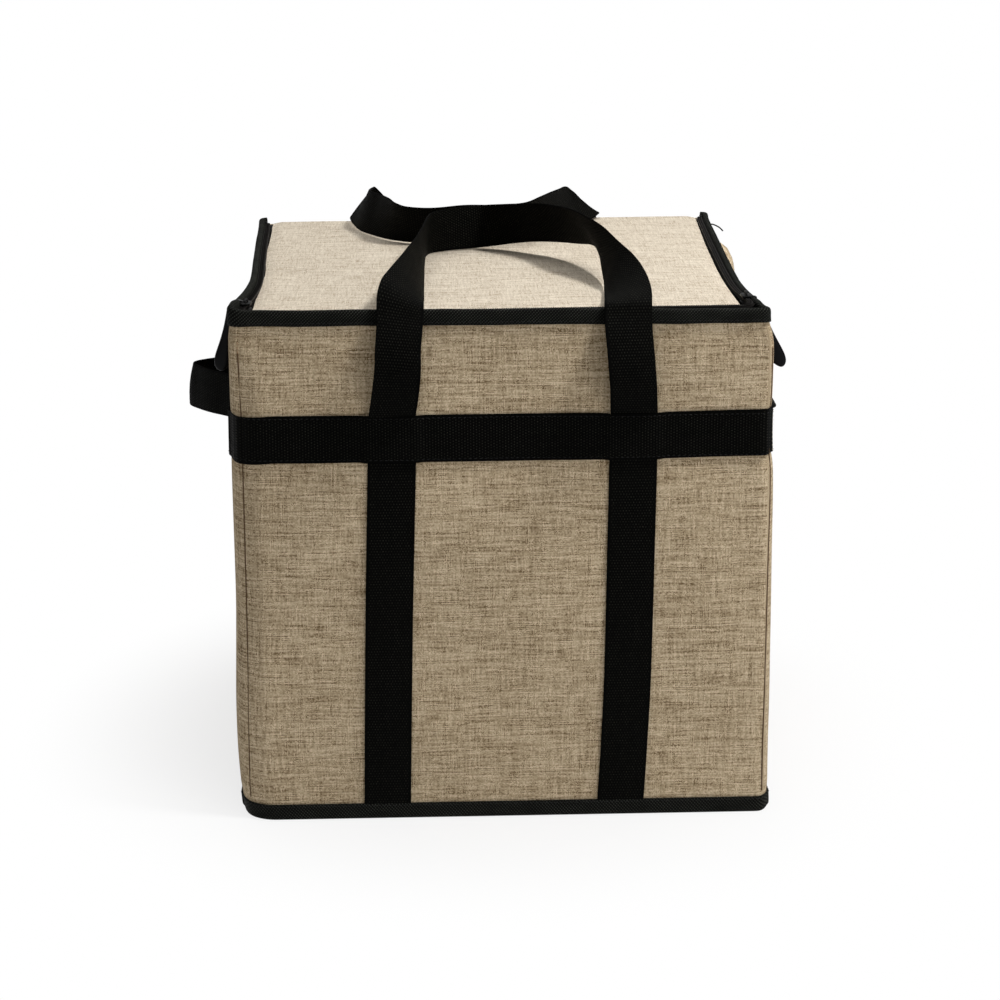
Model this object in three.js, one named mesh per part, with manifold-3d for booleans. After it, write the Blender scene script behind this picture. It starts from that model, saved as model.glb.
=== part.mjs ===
// Square insulated bag with a zipped lid, four webbing loops and a foil-lined interior.
// Millimetres. The origin is the centre of the base on the floor, +Z is up and the front faces -Y.

import * as THREE from "three";
import { mergeVertices } from "three/addons/utils/BufferGeometryUtils.js";
import Module from "manifold-3d";

const wasm = await Module();
wasm.setup();

// Sewn body, measured over the outer fabric and up to the top of the rim.
const bagWidth = 390;
const bagDepth = 390;
const bagHeight = 390;
const cornerRadius = 7;
const cornerWrap = 8;

// Layers of a wall from outside to inside, and the clearance between touching layers.
const fabricThickness = 1;
const foamThickness = 4;
const liningThickness = 0.6;
const boardThickness = 3;
const layerGap = 0.3;

// Binding tape folded over the rim and round the base seam.
const bindingThickness = 1;
const bindingHeight = 13;
const rimInnerRadius = 3;

// Webbing of the band, straps and handles.
const webbingWidth = 35;
const webbingThickness = 1.5;
const bandTopBelowRim = 78;
const strapSpacing = 175;
const frontStrapShift = -2;
const frontStrapLean = 11.5;
const backStrapShift = -8;
const bandRamp = 4;

// Front handle, lying back over the lid.
const frontLegSpacing = 164;
const frontLegShift = 10;
const frontRunReach = 224;
const frontCornerReach = 200;
const frontRunLift = 1.5;
// Stations of a front leg: distance behind the hinge line, and the webbing's turn in degrees.
const frontLegFlat = [[0, 0], [14, 0]];
const frontLegTwist = [[45, 0], [90, 14], [135, 44], [172, 74]];
// Stations of the run: distance inside a leg's inner edge, and distance behind the corner's reach.
const frontRunCorner = [[3, -4], [17, 7]];
const frontRunBend = 4;

// Back handle, lying forward over the lid.
const backRunReach = 144;
const backBowSpread = 100;
const backLegGap = 3;
// Stations of a back leg: distance in front of the fold, inset of its outer edge where given, and turn in degrees.
const backLegFlat = [[1, 0], [9, 6]];
const backLegTwist = [[24, 1, 42], [45, 2, 76]];
// Stations of the bow beside the run: inset from its spread, and distance in front of the fold.
const backBow = [[0, 75], [8, 102], [24, 124], [50, 136]];

// Grab loops on the two sides.
const sideLoopFrontY = -78;
const sideLoopBackY = 47;
const leftLoopProjection = 40;
const rightLoopProjection = 27;
const rightLoopDroop = 14;
const sideTabLength = 24;
const sideTabGap = 0.5;
const sideLoopRoundness = 2.6;
const sideLoopShares = [-1, -0.93, -0.8, -0.5, 0, 0.5, 0.8, 0.93, 1];

// Lid.
const lidDrop = 3;
const lidFromRim = 11.5;
const lidCornerRadius = 10;
const lidSeamAllowance = 7;
const handleOverLid = 1.5;
const hingeInset = 0.5;

// Zip with two rows of coil, one sewn to the body and one to the lid.
const zipFromRim = 5.8;
const zipCornerRadius = 14;
const zipChannel = 1.4;
const coilWidth = 2.4;
const coilHeight = 2;
const tapeThickness = 0.6;
const zipEndFromBack = 12;
const stopLength = 4;

// Zip slider and its pull.
const sliderLength = 13;
const sliderWidth = 9;
const sliderPlate = 1.5;
const sliderPost = 0.8;
const sliderNose = 3;
const sliderTaper = 1;
const sliderShoulder = 2.2;
const sliderPostFront = 5.5;
const sliderFromFront = 33;
const bailLength = 9;
const bailThickness = 1.5;
const bailWidth = 1.6;
const bailRise = 3.8;
const bailChamfer = 1;
const linkWidth = 3;
const linkThickness = 1.1;
const linkClearance = 0.45;
const linkDrop = 7;
const gripLength = 44;
const gripNeckWidth = 5;
const gripBulbRadius = 6.8;
const gripThickness = 4.5;
const gripLean = 5;
const gripEdge = 1;

// Levels and offsets that follow from the sizes above.
const halfWidth = bagWidth / 2;
const halfDepth = bagDepth / 2;
const wallStack = fabricThickness + foamThickness + liningThickness + 2 * layerGap;
const rimTop = bagHeight;
const wallTop = rimTop - bindingThickness - layerGap;
const wallBottom = fabricThickness + layerGap;
const rimOuter = layerGap + bindingThickness;
const rimInner = wallStack + layerGap + bindingThickness;
const bandTop = bagHeight - bandTopBelowRim;
const bandBottom = bandTop - webbingWidth;
const halfWebbing = webbingThickness / 2;
const lidTop = rimTop - lidDrop;
const lidHalfWidth = halfWidth - rimInner - lidFromRim;
const lidFrontY = -(halfDepth - rimInner - lidFromRim);
const lidUnderside = lidTop - wallStack;
const lidHingeY = halfDepth;
const lidHingeZ = lidTop + hingeInset;
const backWallTop = lidTop - fabricThickness - layerGap;
const zipX = halfWidth - rimInner - zipFromRim;
const zipY = halfDepth - rimInner - zipFromRim;
const zipBackY = halfDepth - zipEndFromBack;
const tapeBottom = lidTop - fabricThickness - layerGap - tapeThickness;
const coilBottom = tapeBottom + tapeThickness + layerGap;
const coilTop = coilBottom + coilHeight;
const frontHandleY = -(halfDepth + rimOuter + layerGap + halfWebbing);
const frontHandleZ = rimTop + layerGap + halfWebbing + layerGap;
const frontLegGap = halfWebbing + layerGap * 2;
const handleRestZ = lidTop + handleOverLid;

const fabric = new THREE.MeshStandardMaterial({ color: 0xb3a388, roughness: 0.95, metalness: 0 });
const foam = new THREE.MeshStandardMaterial({ color: 0xe9e9e6, roughness: 0.9, metalness: 0 });
const foil = new THREE.MeshStandardMaterial({ color: 0xc4c6c8, roughness: 0.35, metalness: 0.6 });
const board = new THREE.MeshStandardMaterial({ color: 0xd8d8d4, roughness: 0.6, metalness: 0 });
const binding = new THREE.MeshStandardMaterial({ color: 0x1a1a19, roughness: 0.8, metalness: 0 });
const webbing = new THREE.MeshStandardMaterial({ color: 0x131312, roughness: 0.75, metalness: 0 });
const zipTape = new THREE.MeshStandardMaterial({ color: 0x222221, roughness: 0.85, metalness: 0 });
const zipCoil = new THREE.MeshStandardMaterial({ color: 0x1c1c1c, roughness: 0.4, metalness: 0 });
const blackMetal = new THREE.MeshStandardMaterial({ color: 0x1a1a1b, roughness: 0.35, metalness: 0.7 });
const mouldedPlastic = new THREE.MeshStandardMaterial({ color: 0x121214, roughness: 0.3, metalness: 0 });

/** Solid for joining and cutting, made from a closed geometry. */
function solid(geometry) {
  const plain = geometry.index ? geometry.toNonIndexed() : geometry.clone();
  plain.deleteAttribute("normal");
  plain.deleteAttribute("uv");
  const merged = mergeVertices(plain, 1e-4);
  return new wasm.Manifold(
    new wasm.Mesh({
      numProp: 3,
      vertProperties: new Float32Array(merged.attributes.position.array),
      triVerts: new Uint32Array(merged.index.array),
    }),
  );
}

/** Geometry of a joined or cut solid. */
function geometryOf(body) {
  const mesh = body.getMesh();
  const geometry = new THREE.BufferGeometry();
  geometry.setAttribute("position", new THREE.BufferAttribute(new Float32Array(mesh.vertProperties), 3));
  geometry.setIndex(new THREE.BufferAttribute(new Uint32Array(mesh.triVerts), 1));
  geometry.computeVertexNormals();
  return geometry;
}

/** Closed body through equal rings of points that run anticlockwise about the path, capped at both ends. */
function loft(rings) {
  const count = rings[0].length;
  const last = (rings.length - 1) * count;
  const index = [];
  for (let ring = 0; ring + 1 < rings.length; ring++) {
    for (let corner = 0; corner < count; corner++) {
      const a = ring * count + corner;
      const b = ring * count + ((corner + 1) % count);
      index.push(a, b, b + count, a, b + count, a + count);
    }
  }
  for (let corner = 1; corner + 1 < count; corner++) {
    index.push(0, corner + 1, corner, last, last + corner, last + corner + 1);
  }
  const geometry = new THREE.BufferGeometry();
  const positions = rings.flat().flatMap((point) => [point.x, point.y, point.z]);
  geometry.setAttribute("position", new THREE.Float32BufferAttribute(positions, 3));
  geometry.setIndex(index);
  geometry.computeVertexNormals();
  return geometry;
}

/** Flat webbing along a smooth path. Each station holds a centre and the direction of the webbing's width. */
function ribbon(stations, steps) {
  const path = new THREE.CatmullRomCurve3(stations.map((station) => station.centre));
  const across = new THREE.CatmullRomCurve3(stations.map((station) => station.across));
  const rings = [];
  for (let step = 0; step <= steps; step++) {
    const share = step / steps;
    const centre = path.getPoint(share);
    const along = path.getTangent(share);
    const width = across.getPoint(share);
    width.addScaledVector(along, -width.dot(along)).setLength(webbingWidth / 2);
    const depth = along.clone().cross(width).setLength(halfWebbing);
    rings.push([
      centre.clone().add(width).sub(depth),
      centre.clone().add(width).add(depth),
      centre.clone().sub(width).add(depth),
      centre.clone().sub(width).sub(depth),
    ]);
  }
  return loft(rings);
}

/** Station of a ribbon whose width is turned by an angle in the XZ plane, placed by its lower edge. */
function edgeStation(edgeX, y, edgeZ, side, turnDegrees) {
  const turn = THREE.MathUtils.degToRad(turnDegrees);
  const across = new THREE.Vector3(side * Math.cos(turn), 0, -Math.sin(turn));
  const centre = new THREE.Vector3(edgeX, y, edgeZ).addScaledVector(across, -webbingWidth / 2);
  return { centre, across };
}

/** Station of a ribbon that stands on its lower edge. */
function standingStation(x, y, edgeZ) {
  return edgeStation(x, y, edgeZ, 1, 90);
}

/** Box given by its limits. */
function block([x0, x1], [y0, y1], [z0, z1]) {
  const geometry = new THREE.BoxGeometry(x1 - x0, y1 - y0, z1 - z0);
  return geometry.translate((x0 + x1) / 2, (y0 + y1) / 2, (z0 + z1) / 2);
}

/** Flat outline raised from one level to another. */
function plate(shape, low, high) {
  const geometry = new THREE.ExtrudeGeometry(shape, { depth: high - low, bevelEnabled: false, curveSegments: 5 });
  return geometry.translate(0, 0, low);
}

/** Outline in X and Z, extruded along Y about the given middle. */
function plateAcross(shape, middleY, depth, bevel = 0) {
  const geometry = new THREE.ExtrudeGeometry(shape, {
    depth: depth - 2 * bevel,
    bevelEnabled: bevel > 0,
    bevelThickness: bevel,
    bevelSize: bevel,
    bevelOffset: -bevel,
    bevelSegments: 2,
    curveSegments: 10,
  });
  return geometry.rotateX(Math.PI / 2).translate(0, middleY + depth / 2 - bevel, 0);
}

/** Rounded rectangle about the origin. */
function roundedRectangle(halfX, halfY, radius) {
  const shape = new THREE.Shape();
  shape.moveTo(halfX - radius, -halfY);
  shape.absarc(halfX - radius, radius - halfY, radius, -Math.PI / 2, 0);
  shape.absarc(halfX - radius, halfY - radius, radius, 0, Math.PI / 2);
  shape.absarc(radius - halfX, halfY - radius, radius, Math.PI / 2, Math.PI);
  shape.absarc(radius - halfX, radius - halfY, radius, Math.PI, Math.PI * 1.5);
  return shape;
}

/** U that is open at the back, between an outer and an inner line with their own corner radii. */
function openU(outer, inner, backY) {
  const shape = new THREE.Shape();
  shape.moveTo(-outer.x, backY);
  shape.lineTo(-outer.x, outer.radius - outer.y);
  shape.absarc(outer.radius - outer.x, outer.radius - outer.y, outer.radius, Math.PI, Math.PI * 1.5);
  shape.absarc(outer.x - outer.radius, outer.radius - outer.y, outer.radius, Math.PI * 1.5, Math.PI * 2);
  shape.lineTo(outer.x, backY);
  shape.lineTo(inner.x, backY);
  shape.absarc(inner.x - inner.radius, inner.radius - inner.y, inner.radius, 0, -Math.PI / 2, true);
  shape.absarc(inner.radius - inner.x, inner.radius - inner.y, inner.radius, -Math.PI / 2, -Math.PI, true);
  shape.lineTo(-inner.x, backY);
  return shape;
}

/** Line of the rim at a distance inside (positive) or outside (negative) the outer fabric. */
function wallLine(inset, radius) {
  return { x: halfWidth - inset, y: halfDepth - inset, radius };
}

/** Line that follows the zip at an offset, outwards positive. */
function zipLine(offset) {
  return { x: zipX + offset, y: zipY + offset, radius: zipCornerRadius + offset };
}

const bag = new THREE.Group();

/** Adds a named sub-part. */
function add(name, geometry, material, parent = bag) {
  const mesh = new THREE.Mesh(geometry, material);
  mesh.name = name;
  parent.add(mesh);
  return mesh;
}

/** Outline of a side panel that turns both corners and ends on the front and back faces. */
function sidePanelShape() {
  const inside = cornerRadius - fabricThickness;
  const seamX = halfWidth - cornerWrap;
  const arcX = halfWidth - cornerRadius;
  const arcY = halfDepth - cornerRadius;
  const shape = new THREE.Shape();
  shape.moveTo(seamX, -halfDepth);
  shape.lineTo(arcX, -halfDepth);
  shape.absarc(arcX, -arcY, cornerRadius, -Math.PI / 2, 0);
  shape.absarc(arcX, arcY, cornerRadius, 0, Math.PI / 2);
  shape.lineTo(seamX, halfDepth);
  shape.lineTo(seamX, halfDepth - fabricThickness);
  shape.absarc(arcX, arcY, inside, Math.PI / 2, 0, true);
  shape.absarc(arcX, -arcY, inside, 0, -Math.PI / 2, true);
  shape.lineTo(seamX, fabricThickness - halfDepth);
  return shape;
}

function addOuterFabric() {
  const seamX = halfWidth - cornerWrap - layerGap;
  const front = [-halfDepth, fabricThickness - halfDepth];
  const back = [halfDepth - fabricThickness, halfDepth];
  add("front_panel", block([-seamX, seamX], front, [wallBottom, wallTop]), fabric);
  add("back_panel", block([-seamX, seamX], back, [wallBottom, backWallTop]), fabric);
  add("right_panel", plate(sidePanelShape(), wallBottom, wallTop), fabric);
  const left = new THREE.Group();
  left.rotation.z = Math.PI;
  bag.add(left);
  add("left_panel", plate(sidePanelShape(), wallBottom, wallTop), fabric, left);
  add("base_panel", plate(roundedRectangle(halfWidth, halfDepth, cornerRadius), 0, fabricThickness), fabric);
}

function addInsulation() {
  const outside = fabricThickness + layerGap;
  const inside = outside + foamThickness;
  const edge = cornerWrap + layerGap;
  const wallX = halfWidth - outside;
  const wallY = halfDepth - outside;
  const faceX = halfWidth - inside;
  const faceY = halfDepth - inside;
  const endX = halfWidth - edge;
  const endY = halfDepth - edge;
  const levels = [wallBottom, wallTop];
  add("front_foam", block([-endX, endX], [-wallY, -faceY], levels), foam);
  add("back_foam", block([-endX, endX], [faceY, wallY], [wallBottom, backWallTop]), foam);
  add("left_foam", block([-wallX, -faceX], [-endY, endY], levels), foam);
  add("right_foam", block([faceX, wallX], [-endY, endY], levels), foam);
  const floorX = faceX - layerGap;
  const floorY = faceY - layerGap;
  const foamTop = wallBottom + foamThickness;
  const boardBottom = foamTop + layerGap;
  const boardTop = boardBottom + boardThickness;
  add("base_foam", block([-floorX, floorX], [-floorY, floorY], [wallBottom, foamTop]), foam);
  add("base_board", block([-floorX, floorX], [-floorY, floorY], [boardBottom, boardTop]), board);
}

/** Level on which the wall linings stand, just over the base board. */
const liningFloor = wallBottom + foamThickness + layerGap + boardThickness + layerGap;

function addLining() {
  const outerX = halfWidth - wallStack + liningThickness;
  const outerY = halfDepth - wallStack + liningThickness;
  const innerX = outerX - liningThickness;
  const innerY = outerY - liningThickness;
  const sideEndY = innerY - layerGap;
  const levels = [liningFloor, wallTop];
  add("front_lining", block([-outerX, outerX], [-outerY, -innerY], levels), foil);
  add("back_lining", block([-outerX, outerX], [innerY, outerY], [liningFloor, backWallTop]), foil);
  add("left_lining", block([-outerX, -innerX], [-sideEndY, sideEndY], levels), foil);
  add("right_lining", block([innerX, outerX], [-sideEndY, sideEndY], levels), foil);
  const floorX = innerX - layerGap;
  const floorY = innerY - layerGap;
  const floorTop = liningFloor + liningThickness;
  add("base_lining", block([-floorX, floorX], [-floorY, floorY], [liningFloor, floorTop]), foil);
}

/** Folded tape over the three zipped edges, cut at the front corners into three lengths. */
function addRimBinding() {
  const outerFace = wallLine(-rimOuter, cornerRadius + rimOuter);
  const outerBack = wallLine(-layerGap, cornerRadius + layerGap);
  const innerBack = wallLine(wallStack + layerGap, rimInnerRadius + bindingThickness);
  const innerFace = wallLine(rimInner, rimInnerRadius);
  const backY = halfDepth - cornerRadius;
  const skirt = rimTop - bindingHeight;
  const top = plate(openU(outerFace, innerFace, backY), rimTop - bindingThickness, rimTop);
  const outer = plate(openU(outerFace, outerBack, backY), skirt, rimTop);
  const inner = plate(openU(innerBack, innerFace, backY), skirt, rimTop);
  const whole = solid(top).add(solid(outer)).add(solid(inner));
  const cornerY = -innerFace.y + layerGap;
  const reach = bagWidth + bagDepth;
  const heights = [0, 2 * bagHeight];
  const frontPart = solid(block([-reach, reach], [-reach, cornerY], heights));
  const leftPart = solid(block([-reach, 0], [cornerY + layerGap, reach], heights));
  const rightPart = solid(block([0, reach], [cornerY + layerGap, reach], heights));
  add("front_rim_binding", geometryOf(whole.intersect(frontPart)), binding);
  add("left_rim_binding", geometryOf(whole.intersect(leftPart)), binding);
  add("right_rim_binding", geometryOf(whole.intersect(rightPart)), binding);
}

function addBaseBinding() {
  const ring = roundedRectangle(halfWidth + rimOuter, halfDepth + rimOuter, cornerRadius + rimOuter);
  ring.holes.push(roundedRectangle(halfWidth + layerGap, halfDepth + layerGap, cornerRadius + layerGap));
  add("base_binding", plate(ring, 0, bindingHeight), binding);
}

/** Middle of a front strap at a level: straight up from the base to the band, then on to the leg at the rim. */
function frontStrapX(side, z) {
  const low = frontStrapShift + (side * strapSpacing) / 2;
  const high = low + frontStrapLean;
  const legX = frontLegShift + (side * frontLegSpacing) / 2;
  if (z <= bandTop) {
    return low + ((high - low) * z) / bandTop;
  }
  return high + ((legX - high) * (z - bandTop)) / (rimTop - bandTop);
}

/** Middle of a back strap, which stands straight. */
function backStrapX(side) {
  return backStrapShift + (side * strapSpacing) / 2;
}

/** Strap from the base binding to the rim. It lies on the panel, passes under the band and steps over the rim. */
function addStrap(name, face, middleX, rimStep, top) {
  const flat = halfDepth + layerGap + halfWebbing;
  const skirt = rimTop - bindingHeight;
  const levels = [
    [bindingHeight + layerGap, 0],
    [bandBottom, 0],
    [bandTop + layerGap, 0],
    [skirt - bindingHeight, rimStep],
    [skirt, rimStep],
    [top, rimStep],
  ];
  const rings = levels.map(([z, step]) => {
    const left = middleX(z) - webbingWidth / 2;
    const right = middleX(z) + webbingWidth / 2;
    const low = face * (flat + step) - halfWebbing;
    const high = face * (flat + step) + halfWebbing;
    return [[right, low], [right, high], [left, high], [left, low]].map(([x, y]) => new THREE.Vector3(x, y, z));
  });
  add(name, loft(rings), webbing);
}

function addStraps() {
  const top = frontHandleZ - halfWebbing - frontLegGap;
  for (const [word, side] of [["left", -1], ["right", 1]]) {
    addStrap(`front_${word}_strap`, -1, (z) => frontStrapX(side, z), rimOuter, top);
    addStrap(`back_${word}_strap`, 1, () => backStrapX(side), 0, lidHingeZ - backLegGap);
  }
}

/** One face of the band's outline, stepping out over each strap, from one end of the face to the other. */
function bandFace(shape, face, offset, straps) {
  const step = webbingThickness + layerGap;
  const reach = webbingWidth / 2 + layerGap * 3;
  const level = -face * (halfDepth + offset);
  for (const x of straps) {
    shape.lineTo(x - face * (reach + bandRamp), level);
    shape.lineTo(x - face * reach, level - face * step);
    shape.lineTo(x + face * reach, level - face * step);
    shape.lineTo(x + face * (reach + bandRamp), level);
  }
}

/** Closed line round the bag at an offset from the fabric, with the steps over the four straps. */
function bandLine(offset, Outline) {
  const radius = cornerRadius + offset;
  const x = halfWidth + offset - radius;
  const y = halfDepth + offset - radius;
  const bandMiddle = (bandTop + bandBottom) / 2;
  const line = new Outline();
  line.moveTo(-x, -y - radius);
  bandFace(line, 1, offset, [frontStrapX(-1, bandMiddle), frontStrapX(1, bandMiddle)]);
  line.absarc(x, -y, radius, -Math.PI / 2, 0);
  line.absarc(x, y, radius, 0, Math.PI / 2);
  bandFace(line, -1, offset, [backStrapX(1), backStrapX(-1)]);
  line.absarc(-x, y, radius, Math.PI / 2, Math.PI);
  line.absarc(-x, -y, radius, Math.PI, Math.PI * 1.5);
  return line;
}

function addBand() {
  const ring = bandLine(layerGap + webbingThickness, THREE.Shape);
  ring.holes.push(bandLine(layerGap, THREE.Path));
  add("webbing_band", plate(ring, bandBottom, bandTop), webbing);
}

/** Distance from the fabric to the middle of webbing that lies on the band. */
const overBand = layerGap + webbingThickness + layerGap + halfWebbing;

/** Grab loop of one side with the two sewn ends that hold it to the band. */
function addSideHandle(word, side, projection, droop) {
  const wallX = halfWidth + overBand;
  const middleY = (sideLoopFrontY + sideLoopBackY) / 2;
  const shoulder = (sideLoopBackY - sideLoopFrontY) / 2;
  const middleZ = (bandTop + bandBottom) / 2;
  const stations = sideLoopShares.map((share) => {
    const out = projection * Math.sqrt(Math.max(0, 1 - Math.abs(share) ** sideLoopRoundness));
    const lean = (droop * out) / projection;
    const across = new THREE.Vector3(side * lean, 0, -Math.sqrt(webbingWidth ** 2 - lean ** 2));
    const centre = new THREE.Vector3(side * (wallX + out), middleY + side * share * shoulder, middleZ);
    return { centre, across };
  });
  stations[0].centre.y += side * sideTabGap;
  stations[stations.length - 1].centre.y -= side * sideTabGap;
  add(`${word}_side_handle`, ribbon(stations, 40), webbing);
  const tabX = side > 0 ? [wallX - halfWebbing, wallX + halfWebbing] : [-wallX - halfWebbing, halfWebbing - wallX];
  const ends = [
    ["front", sideLoopFrontY - sideTabLength, sideLoopFrontY - sideTabGap],
    ["rear", sideLoopBackY + sideTabGap, sideLoopBackY + sideTabLength],
  ];
  for (const [end, low, high] of ends) {
    add(`${word}_handle_${end}_tab`, block(tabX, [low, high], [bandBottom, bandTop]), webbing);
  }
}

/** Front handle: two legs that turn onto their edge over the lid and a run that stands between them. */
function addFrontHandle() {
  const legX = (side) => frontLegShift + (side * frontLegSpacing) / 2;
  const innerEdge = (side) => legX(side) - (side * webbingWidth) / 2;
  const y = (reach) => frontHandleY + reach;
  const lift = (side) => (side > 0 ? frontRunLift : 0);
  const leg = (side) => [
    ...frontLegFlat.map(([reach, turn]) => edgeStation(innerEdge(side), y(reach), frontHandleZ, -side, turn)),
    ...frontLegTwist.map(([reach, turn]) => {
      return edgeStation(innerEdge(side), y(reach), handleRestZ + lift(side) * (turn / 90), -side, turn);
    }),
  ];
  const corner = (side) =>
    frontRunCorner.map(([inset, behind]) => {
      return standingStation(innerEdge(side) - side * inset, y(frontCornerReach + behind), handleRestZ + lift(side));
    });
  const bend = (share, behind) => {
    const x = THREE.MathUtils.lerp(innerEdge(-1), innerEdge(1), share);
    return standingStation(x, y(frontRunReach - behind), handleRestZ + frontRunLift * share);
  };
  const run = [...corner(-1), bend(1 / 3, frontRunBend), bend(1 / 2, 0), bend(2 / 3, frontRunBend)];
  const stations = [...leg(-1), ...run, ...corner(1).reverse(), ...leg(1).reverse()];
  add("front_handle", ribbon(stations, 76), webbing);
}

/** Back handle: it comes over the hinge fold, turns onto its edge and bows outwards before it crosses the lid. */
function addBackHandle() {
  const outerEdge = (side) => backStrapX(side) + (side * webbingWidth) / 2;
  const y = (reach) => lidHingeY - reach;
  const z = handleRestZ;
  const leg = (side) => [
    ...backLegFlat.map(([reach, turn]) => edgeStation(outerEdge(side), y(reach), z + layerGap, side, turn)),
    ...backLegTwist.map(([reach, inset, turn]) => {
      return edgeStation(outerEdge(side) - side * inset, y(reach), z, side, turn);
    }),
  ];
  const bow = (side) =>
    backBow.map(([inset, reach]) => standingStation(backStrapShift + side * (backBowSpread - inset), y(reach), z));
  const middle = standingStation(backStrapShift, y(backRunReach), z);
  const stations = [...leg(-1), ...bow(-1), middle, ...bow(1).reverse(), ...leg(1).reverse()];
  add("back_handle", ribbon(stations, 76), webbing);
}

/** Lid: outer fabric that reaches the hinge fold, foam and lining that fill the mouth inside the zip. */
function addLid() {
  const insideBack = halfDepth - wallStack - layerGap * 3;
  const outline = (inset, backY, radius) => {
    const x = lidHalfWidth - inset;
    const y = lidFrontY + inset;
    const shape = new THREE.Shape();
    shape.moveTo(-x, backY);
    shape.lineTo(-x, y + radius);
    shape.absarc(radius - x, y + radius, radius, Math.PI, Math.PI * 1.5);
    shape.absarc(x - radius, y + radius, radius, Math.PI * 1.5, Math.PI * 2);
    shape.lineTo(x, backY);
    return shape;
  };
  const panelBottom = lidTop - fabricThickness;
  const foamTop = panelBottom - layerGap;
  const liningTop = lidUnderside + liningThickness;
  const lidPanel = outline(0, lidHingeY - hingeInset, lidCornerRadius);
  add("lid_panel", plate(lidPanel, panelBottom, lidTop), fabric);
  const foamInset = lidSeamAllowance + layerGap;
  add("lid_foam", plate(outline(foamInset, insideBack, lidCornerRadius / 2), foamTop - foamThickness, foamTop), foam);
  add("lid_lining", plate(outline(0, insideBack, lidCornerRadius), lidUnderside, liningTop), foil);
}

/** Both tapes with their coils, and the stops at the hinge end. */
function addZip() {
  const half = zipChannel / 2;
  const coilOuter = half + coilWidth;
  const bodyTapeOuter = zipFromRim - layerGap;
  const lidTapeInner = lidFromRim - zipFromRim + lidSeamAllowance;
  const strip = (from, to, low, high) => plate(openU(zipLine(to), zipLine(from), zipBackY), low, high);
  const tapeTop = tapeBottom + tapeThickness;
  add("body_zip_tape", strip(half, bodyTapeOuter, tapeBottom, tapeTop), zipTape);
  add("body_zip_coil", strip(half, coilOuter, coilBottom, coilTop), zipCoil);
  add("lid_zip_tape", strip(-lidTapeInner, -half, tapeBottom, tapeTop), zipTape);
  add("lid_zip_coil", strip(-coilOuter, -half, coilBottom, coilTop), zipCoil);
  for (const [word, side] of [["left", -1], ["right", 1]]) {
    const near = zipX + half;
    const far = zipX + coilOuter;
    const x = side > 0 ? [near, far] : [-far, -near];
    const y = [zipBackY + layerGap, zipBackY + layerGap + stopLength];
    add(`${word}_zip_stop`, block(x, y, [tapeBottom, coilTop]), blackMetal);
  }
}

/** Slider in its own frame: X outwards from the zip, Y along it, Z measured from the floor. */
function sliderGeometry() {
  const lowTop = tapeBottom - layerGap;
  const topBottom = coilTop + layerGap;
  const topTop = topBottom + sliderPlate;
  const x = sliderWidth / 2;
  const half = sliderLength / 2;
  const plateShape = new THREE.Shape();
  plateShape.moveTo(-sliderNose, half);
  plateShape.lineTo(-x, sliderShoulder);
  plateShape.lineTo(sliderTaper - x, -half);
  plateShape.lineTo(x - sliderTaper, -half);
  plateShape.lineTo(x, sliderShoulder);
  plateShape.lineTo(sliderNose, half);
  const lower = solid(plate(plateShape, lowTop - sliderPlate, lowTop));
  const upper = solid(plate(plateShape, topBottom, topTop));
  const post = [-sliderPost / 2, sliderPost / 2];
  const wedge = solid(block(post, [sliderShoulder, sliderPostFront], [lowTop - sliderPlate, topTop]));
  const foot = topTop - sliderPlate / 2;
  const top = topTop + bailRise;
  const end = bailLength / 2;
  const arch = new THREE.Shape();
  arch.moveTo(-end, foot);
  arch.lineTo(end, foot);
  arch.lineTo(end, top - bailChamfer);
  arch.lineTo(end - bailChamfer, top);
  arch.lineTo(bailChamfer - end, top);
  arch.lineTo(-end, top - bailChamfer);
  const opening = new THREE.Path();
  opening.moveTo(bailThickness - end, topTop - sliderPlate / 4);
  opening.lineTo(bailThickness - end, top - bailThickness);
  opening.lineTo(end - bailThickness, top - bailThickness);
  opening.lineTo(end - bailThickness, topTop - sliderPlate / 4);
  arch.holes.push(opening);
  const bail = new THREE.ExtrudeGeometry(arch, { depth: bailWidth, bevelEnabled: false });
  bail.rotateX(Math.PI / 2).rotateZ(Math.PI / 2).translate(-bailWidth / 2, 0, 0);
  return geometryOf(lower.add(upper).add(wedge).add(solid(bail)));
}

/** Level of the bar that the pull hangs on. */
const bailBarZ = coilTop + layerGap + sliderPlate + bailRise - bailThickness / 2;

/** Metal link: a ring about the bail's bar and an arm that reaches over the rim and turns down. */
function linkGeometry(armEnd) {
  const inner = Math.hypot(bailWidth, bailThickness) / 2 + linkClearance;
  const outer = inner + linkThickness;
  const ring = new THREE.Shape();
  ring.absarc(0, bailBarZ, outer, 0, Math.PI * 2);
  const eye = new THREE.Path();
  eye.absarc(0, bailBarZ, inner, 0, Math.PI * 2, true);
  ring.holes.push(eye);
  const half = linkThickness / 2;
  const arm = new THREE.Shape();
  arm.moveTo(inner + half, bailBarZ - half);
  arm.lineTo(armEnd - half, bailBarZ - half);
  arm.lineTo(armEnd - half, bailBarZ - linkDrop);
  arm.lineTo(armEnd + half, bailBarZ - linkDrop);
  arm.lineTo(armEnd + half, bailBarZ + half - linkThickness);
  arm.lineTo(armEnd - half, bailBarZ + half);
  arm.lineTo(inner + half, bailBarZ + half);
  const eyePart = solid(plateAcross(ring, 0, linkWidth));
  return geometryOf(eyePart.add(solid(plateAcross(arm, 0, linkWidth))));
}

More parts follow.
